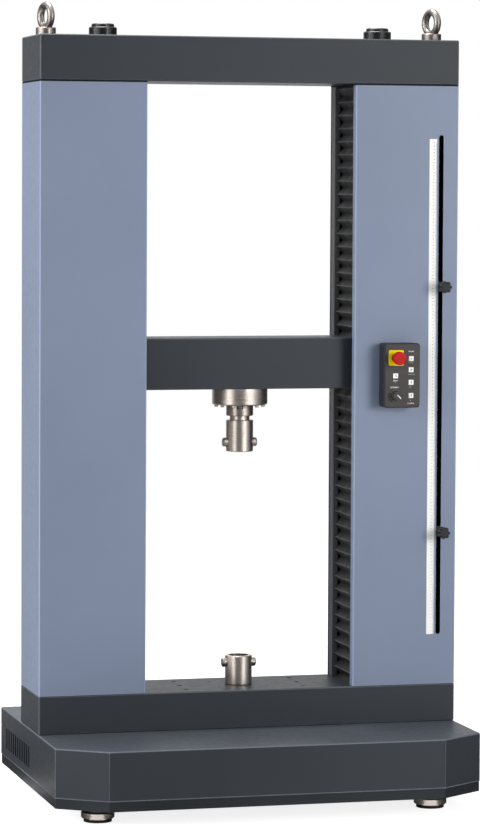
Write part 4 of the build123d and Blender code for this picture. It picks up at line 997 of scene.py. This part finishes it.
# Each word's place right of the middle of the box and above its foot, its width and height in mm, and its ink
BOX_WORDS = (
    ("START", 27.7, 169.0, 18, 3.4, WHITE_INK),
    ("STOP", 27.0, 135.1, 14, 2.8, GREY_INK),
    ("RETURN", 29.8, 100.0, 20, 2.8, GREY_INK),
    ("SPEED", -24.5, 61.4, 26, 3.6, WHITE_INK),
    ("ZERO", -21.8, 81.5, 15, 3.4, WHITE_INK),
    ("DOWN", 27.2, 12.7, 20, 3.4, WHITE_INK),
    ("UP", 24.6, 61.7, 6.5, 3.2, GREY_INK),
)


def print_words(text, x, face, z, width, height, ink):
    """Words fitted into a width and height on a front face."""
    mesh = write("words", text, ink, weight=WORD_WEIGHT)
    places = [v.co for v in mesh.vertices]
    low = [min(p[k] for p in places) for k in range(3)]
    high = [max(p[k] for p in places) for k in range(3)]
    mesh.transform(Matrix.Translation([-(a + b) / 2 for a, b in zip(low, high)]))
    size = [b - a for a, b in zip(low, high)]
    mesh.transform(Matrix.Diagonal((width / size[0], height / size[1], PRINT_THICK / size[2], 1.0)))
    mesh.transform(facing_front(x, face - PRINT_THICK / 2, z))
    return new_piece("words", mesh)


def stamp(name, outlines, x, face, z, ink, thick=PRINT_THICK):
    """Flat shapes given by their corners, right and up, standing a little proud of a front face."""
    shape = bmesh.new()
    for outline in outlines:
        bottom = [shape.verts.new((a, b, 0.0)) for a, b in outline]
        top = [shape.verts.new((a, b, thick)) for a, b in outline]
        shape.faces.new(top)
        shape.faces.new(bottom[::-1])
        for k in range(len(outline)):
            following = (k + 1) % len(outline)
            shape.faces.new((bottom[k], bottom[following], top[following], top[k]))
    bmesh.ops.recalc_face_normals(shape, faces=shape.faces)
    mesh = mesh_from(shape, name, ink)
    mesh.transform(facing_front(x, face, z))
    return new_piece(name, mesh)


def disc(radius, sides=20, x=0.0, z=0.0):
    turns = [2 * math.pi * k / sides for k in range(sides)]
    return [(x + radius * math.cos(a), z + radius * math.sin(a)) for a in turns]


def turned(outline, turn):
    """An outline that runs to the right, turned to run along turn, in degrees from the right."""
    along = math.radians(turn)
    across, up = math.cos(along), math.sin(along)
    return [(a * across - b * up, a * up + b * across) for a, b in outline]


def bar(length, width, turn=0.0, z=0.0):
    """A bar with round ends that runs along turn, at a height."""
    ends = []
    for side in (1, -1):
        for k in range(7):
            a = math.radians(30 * k - 90 * side)
            ends.append((side * (length - width) / 2 + width / 2 * math.cos(a), width / 2 * math.sin(a)))
    return [(a, z + b) for a, b in turned(ends, turn)]


def arrow(length, width, turn):
    """An arrow with a barbed head that points along turn."""
    neck, stalk = length * 0.05, width * 0.16
    corners = [(-length / 2, -stalk), (neck, -stalk), (neck, -width / 2), (length / 2, 0), (neck, width / 2),
               (neck, stalk), (-length / 2, stalk)]
    return turned(corners, turn)


def round_box(node, gap, radius, up=2):
    """A node's box, wider by a gap, as an outline with round corners: from the front, or above if up is 1."""
    low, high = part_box(node)
    left, right, foot, head = low[0] - gap, high[0] + gap, low[up] - gap, high[up] + gap
    middles = ((right - radius, head - radius), (left + radius, head - radius),
               (left + radius, foot + radius), (right - radius, foot + radius))
    outline = []
    for corner, (x, z) in enumerate(middles):
        for k in range(CORNER_STEPS + 1):
            angle = math.radians(90 * (corner + k / CORNER_STEPS))
            outline.append((x + radius * math.cos(angle), z + radius * math.sin(angle)))
    return outline


def draw_loop(drawing, points):
    """A closed line through these points, as a part of a curve."""
    spline = drawing.splines.new("POLY")
    spline.points.add(len(points) - 1)
    for point, place in zip(spline.points, points):
        point.co = (*place, 1.0)
    spline.use_cyclic_u = True


def pierced_plate(name, outlines, thick, finish):
    """A flat plate, right and up, with its back at zero, from its outline and those of its holes."""
    drawing = bpy.data.curves.new(name, "CURVE")
    drawing.dimensions = "2D"
    drawing.fill_mode = "BOTH"
    drawing.extrude = thick / 2
    for outline in outlines:
        draw_loop(drawing, [(x, z, 0.0) for x, z in outline])
    mesh = plain_mesh(drawing, finish)
    mesh.transform(Matrix.Translation((0, 0, thick / 2)))
    return mesh


def make_box_overlay():
    """The grey front sheet of the control box, cut out around its controls."""
    outlines = [round_box("box_housing", -OVERLAY_IN, 7 * MM), round_box("stop_plate", 0.3 * MM, 4 * MM)]
    outlines += [round_box(f"button_{k}", -1.2 * MM, MM) for k in range(1, 6)]
    x, _, z = middle_of("speed_dial")
    outlines.append(disc(5 * MM, 24, x, z))
    mesh = pierced_plate("box_overlay", outlines, OVERLAY_THICK, BOX_OVERLAY)
    mesh.transform(facing_front(0.0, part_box("box_housing")[0][1], 0.0))
    fix_on(new_piece("box_overlay", mesh), "frame")


def make_box_marks():
    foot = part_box("box_housing")[0]
    face = foot[1] - OVERLAY_THICK
    box_x = middle_of("box_housing")[0]
    prints = []
    for text, x, z, width, height, ink in BOX_WORDS:
        prints.append(print_words(text, box_x + x * MM, face, foot[2] + z * MM, width * MM, height * MM, ink))
    dial_x, _, dial_z = middle_of("speed_dial")
    turns = [math.radians(-150 + 300 * k / (DOTS - 1)) for k in range(DOTS)]
    dots = [disc(0.8 * MM, 10, DOT_CIRCLE_R * math.sin(a), DOT_CIRCLE_R * math.cos(a)) for a in turns]
    for outlines, x, z in (([arrow(4.5 * MM, 4 * MM, -90)], box_x + 26.4 * MM, foot[2] + 22 * MM),
                           ([disc(1.1 * MM)], box_x - 21.8 * MM, foot[2] + 75.9 * MM),
                           (dots, dial_x, dial_z)):
        prints.append(stamp("mark", outlines, x, face, z, GREY_INK))
    fix_on(join("box_words", prints), "frame")

    marks = {"button_1": [disc(1.9 * MM)], "button_2": [arrow(7.5 * MM, 5.2 * MM, 45)],
             "button_3": [arrow(7 * MM, 5 * MM, 90)], "button_4": [arrow(7 * MM, 5 * MM, -90)],
             "button_5": [bar(5 * MM, 1.5 * MM, z=1.8 * MM), bar(5 * MM, 1.5 * MM, z=-1.8 * MM)]}
    for button, outlines in marks.items():
        x, _, z = middle_of(button)
        mark = stamp(f"{button}_mark", outlines, x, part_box(button)[0][1], z, BLACK_INK)
        fix_on(mark, button)

    [(right, up)] = turned([(POINTER_OUT, 0.0)], POINTER_TURN)
    pointer = stamp("dial_pointer", [bar(16.6 * MM, 2.8 * MM, POINTER_TURN)], dial_x + right,
                    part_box("speed_dial")[0][1], dial_z + up, WHITE_INK, POINTER_THICK)
    fix_on(pointer, "speed_dial")


# Base: black pads behind the vents as painted shade, a pale bead along the seam as painted highlight.
# Columns: black strips under the beam as painted shade in the joint

VENT_PAD_OUTER, VENT_PAD_INNER = 3.2 * MM, 9 * MM  # in from the sides of the base cover
VENT_PAD_FRONT, VENT_PAD_BACK = 8 * MM, 382 * MM
VENT_PAD_FOOT, VENT_PAD_HEAD = 19 * MM, 97 * MM  # above its lower edge
BEAD_R = 0.75 * MM
SAME_HEIGHT = 0.4 * MM
GAP_STRIP_PROUD, GAP_STRIP_WALL, GAP_STRIP_TALL = 0.4 * MM, 2.5 * MM, 3.4 * MM


def bevelled_block(name, low, high, edge, finish):
    shape = bmesh.new()
    bmesh.ops.create_cube(shape, size=1.0)
    for vert in shape.verts:
        vert.co = [(a + b) / 2 + c * (b - a) for a, b, c in zip(low, high, vert.co)]
    bmesh.ops.bevel(shape, geom=shape.edges[:], offset=edge, segments=2, affect="EDGES", profile=0.6)
    return new_piece(name, mesh_from(shape, name, finish))


# Near black pads behind the vents, painted shade inside the base.
def make_vent_filters():
    foot, head = BASE_LOW[2] + VENT_PAD_FOOT, BASE_LOW[2] + VENT_PAD_HEAD
    pads = []
    for side in (-1, 1):
        left, right = sorted(side * (BASE_HIGH[0] - inward) for inward in (VENT_PAD_OUTER, VENT_PAD_INNER))
        low, high = (left, VENT_PAD_FRONT, foot), (right, VENT_PAD_BACK, head)
        pads.append(bevelled_block("vent_shade_pad", low, high, MM, VENT_SHADE_BLACK))
    fix_on(join("vent_shade_pads", pads), "frame")


def outline_at(node, height):
    """The outer corners of a node's points at one height, once round."""
    level = [v.co for v in NODES[node].data.vertices if abs(v.co.z - height) < SAME_HEIGHT]
    points = {(round(p.x, 5), round(p.y, 5)) for p in level}
    ring = []
    for line in (sorted(points), sorted(points, reverse=True)):
        half = []
        for p in line:
            while len(half) > 1:
                (a, b), (c, d) = half[-2:]
                if (c - a) * (p[1] - b) - (d - b) * (p[0] - a) > 1e-9:
                    break
                half.pop()
            half.append(p)
        ring += half[:-1]
    return ring


def make_seam_bead():
    """The thin bead along the lower edge of the base cover, painted pale as a highlight along the seam."""
    bead = bpy.data.curves.new("seam_bead", "CURVE")
    bead.dimensions = "3D"
    bead.bevel_depth = BEAD_R
    bead.bevel_resolution = 2
    middle_x, middle_y, _ = middle_of("base_cover")
    inward_x = 1 - BEAD_R / (BASE_HIGH[0] - middle_x)
    inward_y = 1 - BEAD_R / (BASE_HIGH[1] - middle_y)
    z = BASE_LOW[2] - BEAD_R
    draw_loop(bead, [(middle_x + (x - middle_x) * inward_x, middle_y + (y - middle_y) * inward_y, z)
                     for x, y in outline_at("base_cover", BASE_LOW[2])])
    mesh = plain_mesh(bead, HEM_PAINT)
    smooth(mesh, angle=60.0)
    fix_on(new_piece("seam_bead", mesh), "frame")


def make_column_seals():
    """A black strip round the top of each column cover, in the joint under the beam: painted shade of the gap
    there.
    """
    gap_strips = []
    for cover in ("left_column_cover", "right_column_cover"):
        outlines = [round_box(cover, GAP_STRIP_PROUD, 4.4 * MM, up=1), round_box(cover, -GAP_STRIP_WALL, 2 * MM, up=1)]
        mesh = pierced_plate("gap_strip", outlines, GAP_STRIP_TALL, GAP_STRIP_BLACK)
        mesh.transform(Matrix.Translation((0, 0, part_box(cover)[1][2] - GAP_STRIP_TALL)))
        gap_strips.append(new_piece("gap_strip", mesh))
    fix_on(join("column_gap_strips", gap_strips), "frame")


set_camera()
lay_floor()
light_studio()
coat_nodes()
make_bellows()
make_screws()
make_ruler_scale()
make_box_overlay()
make_box_marks()
make_vent_filters()
make_seam_bead()
make_column_seals()
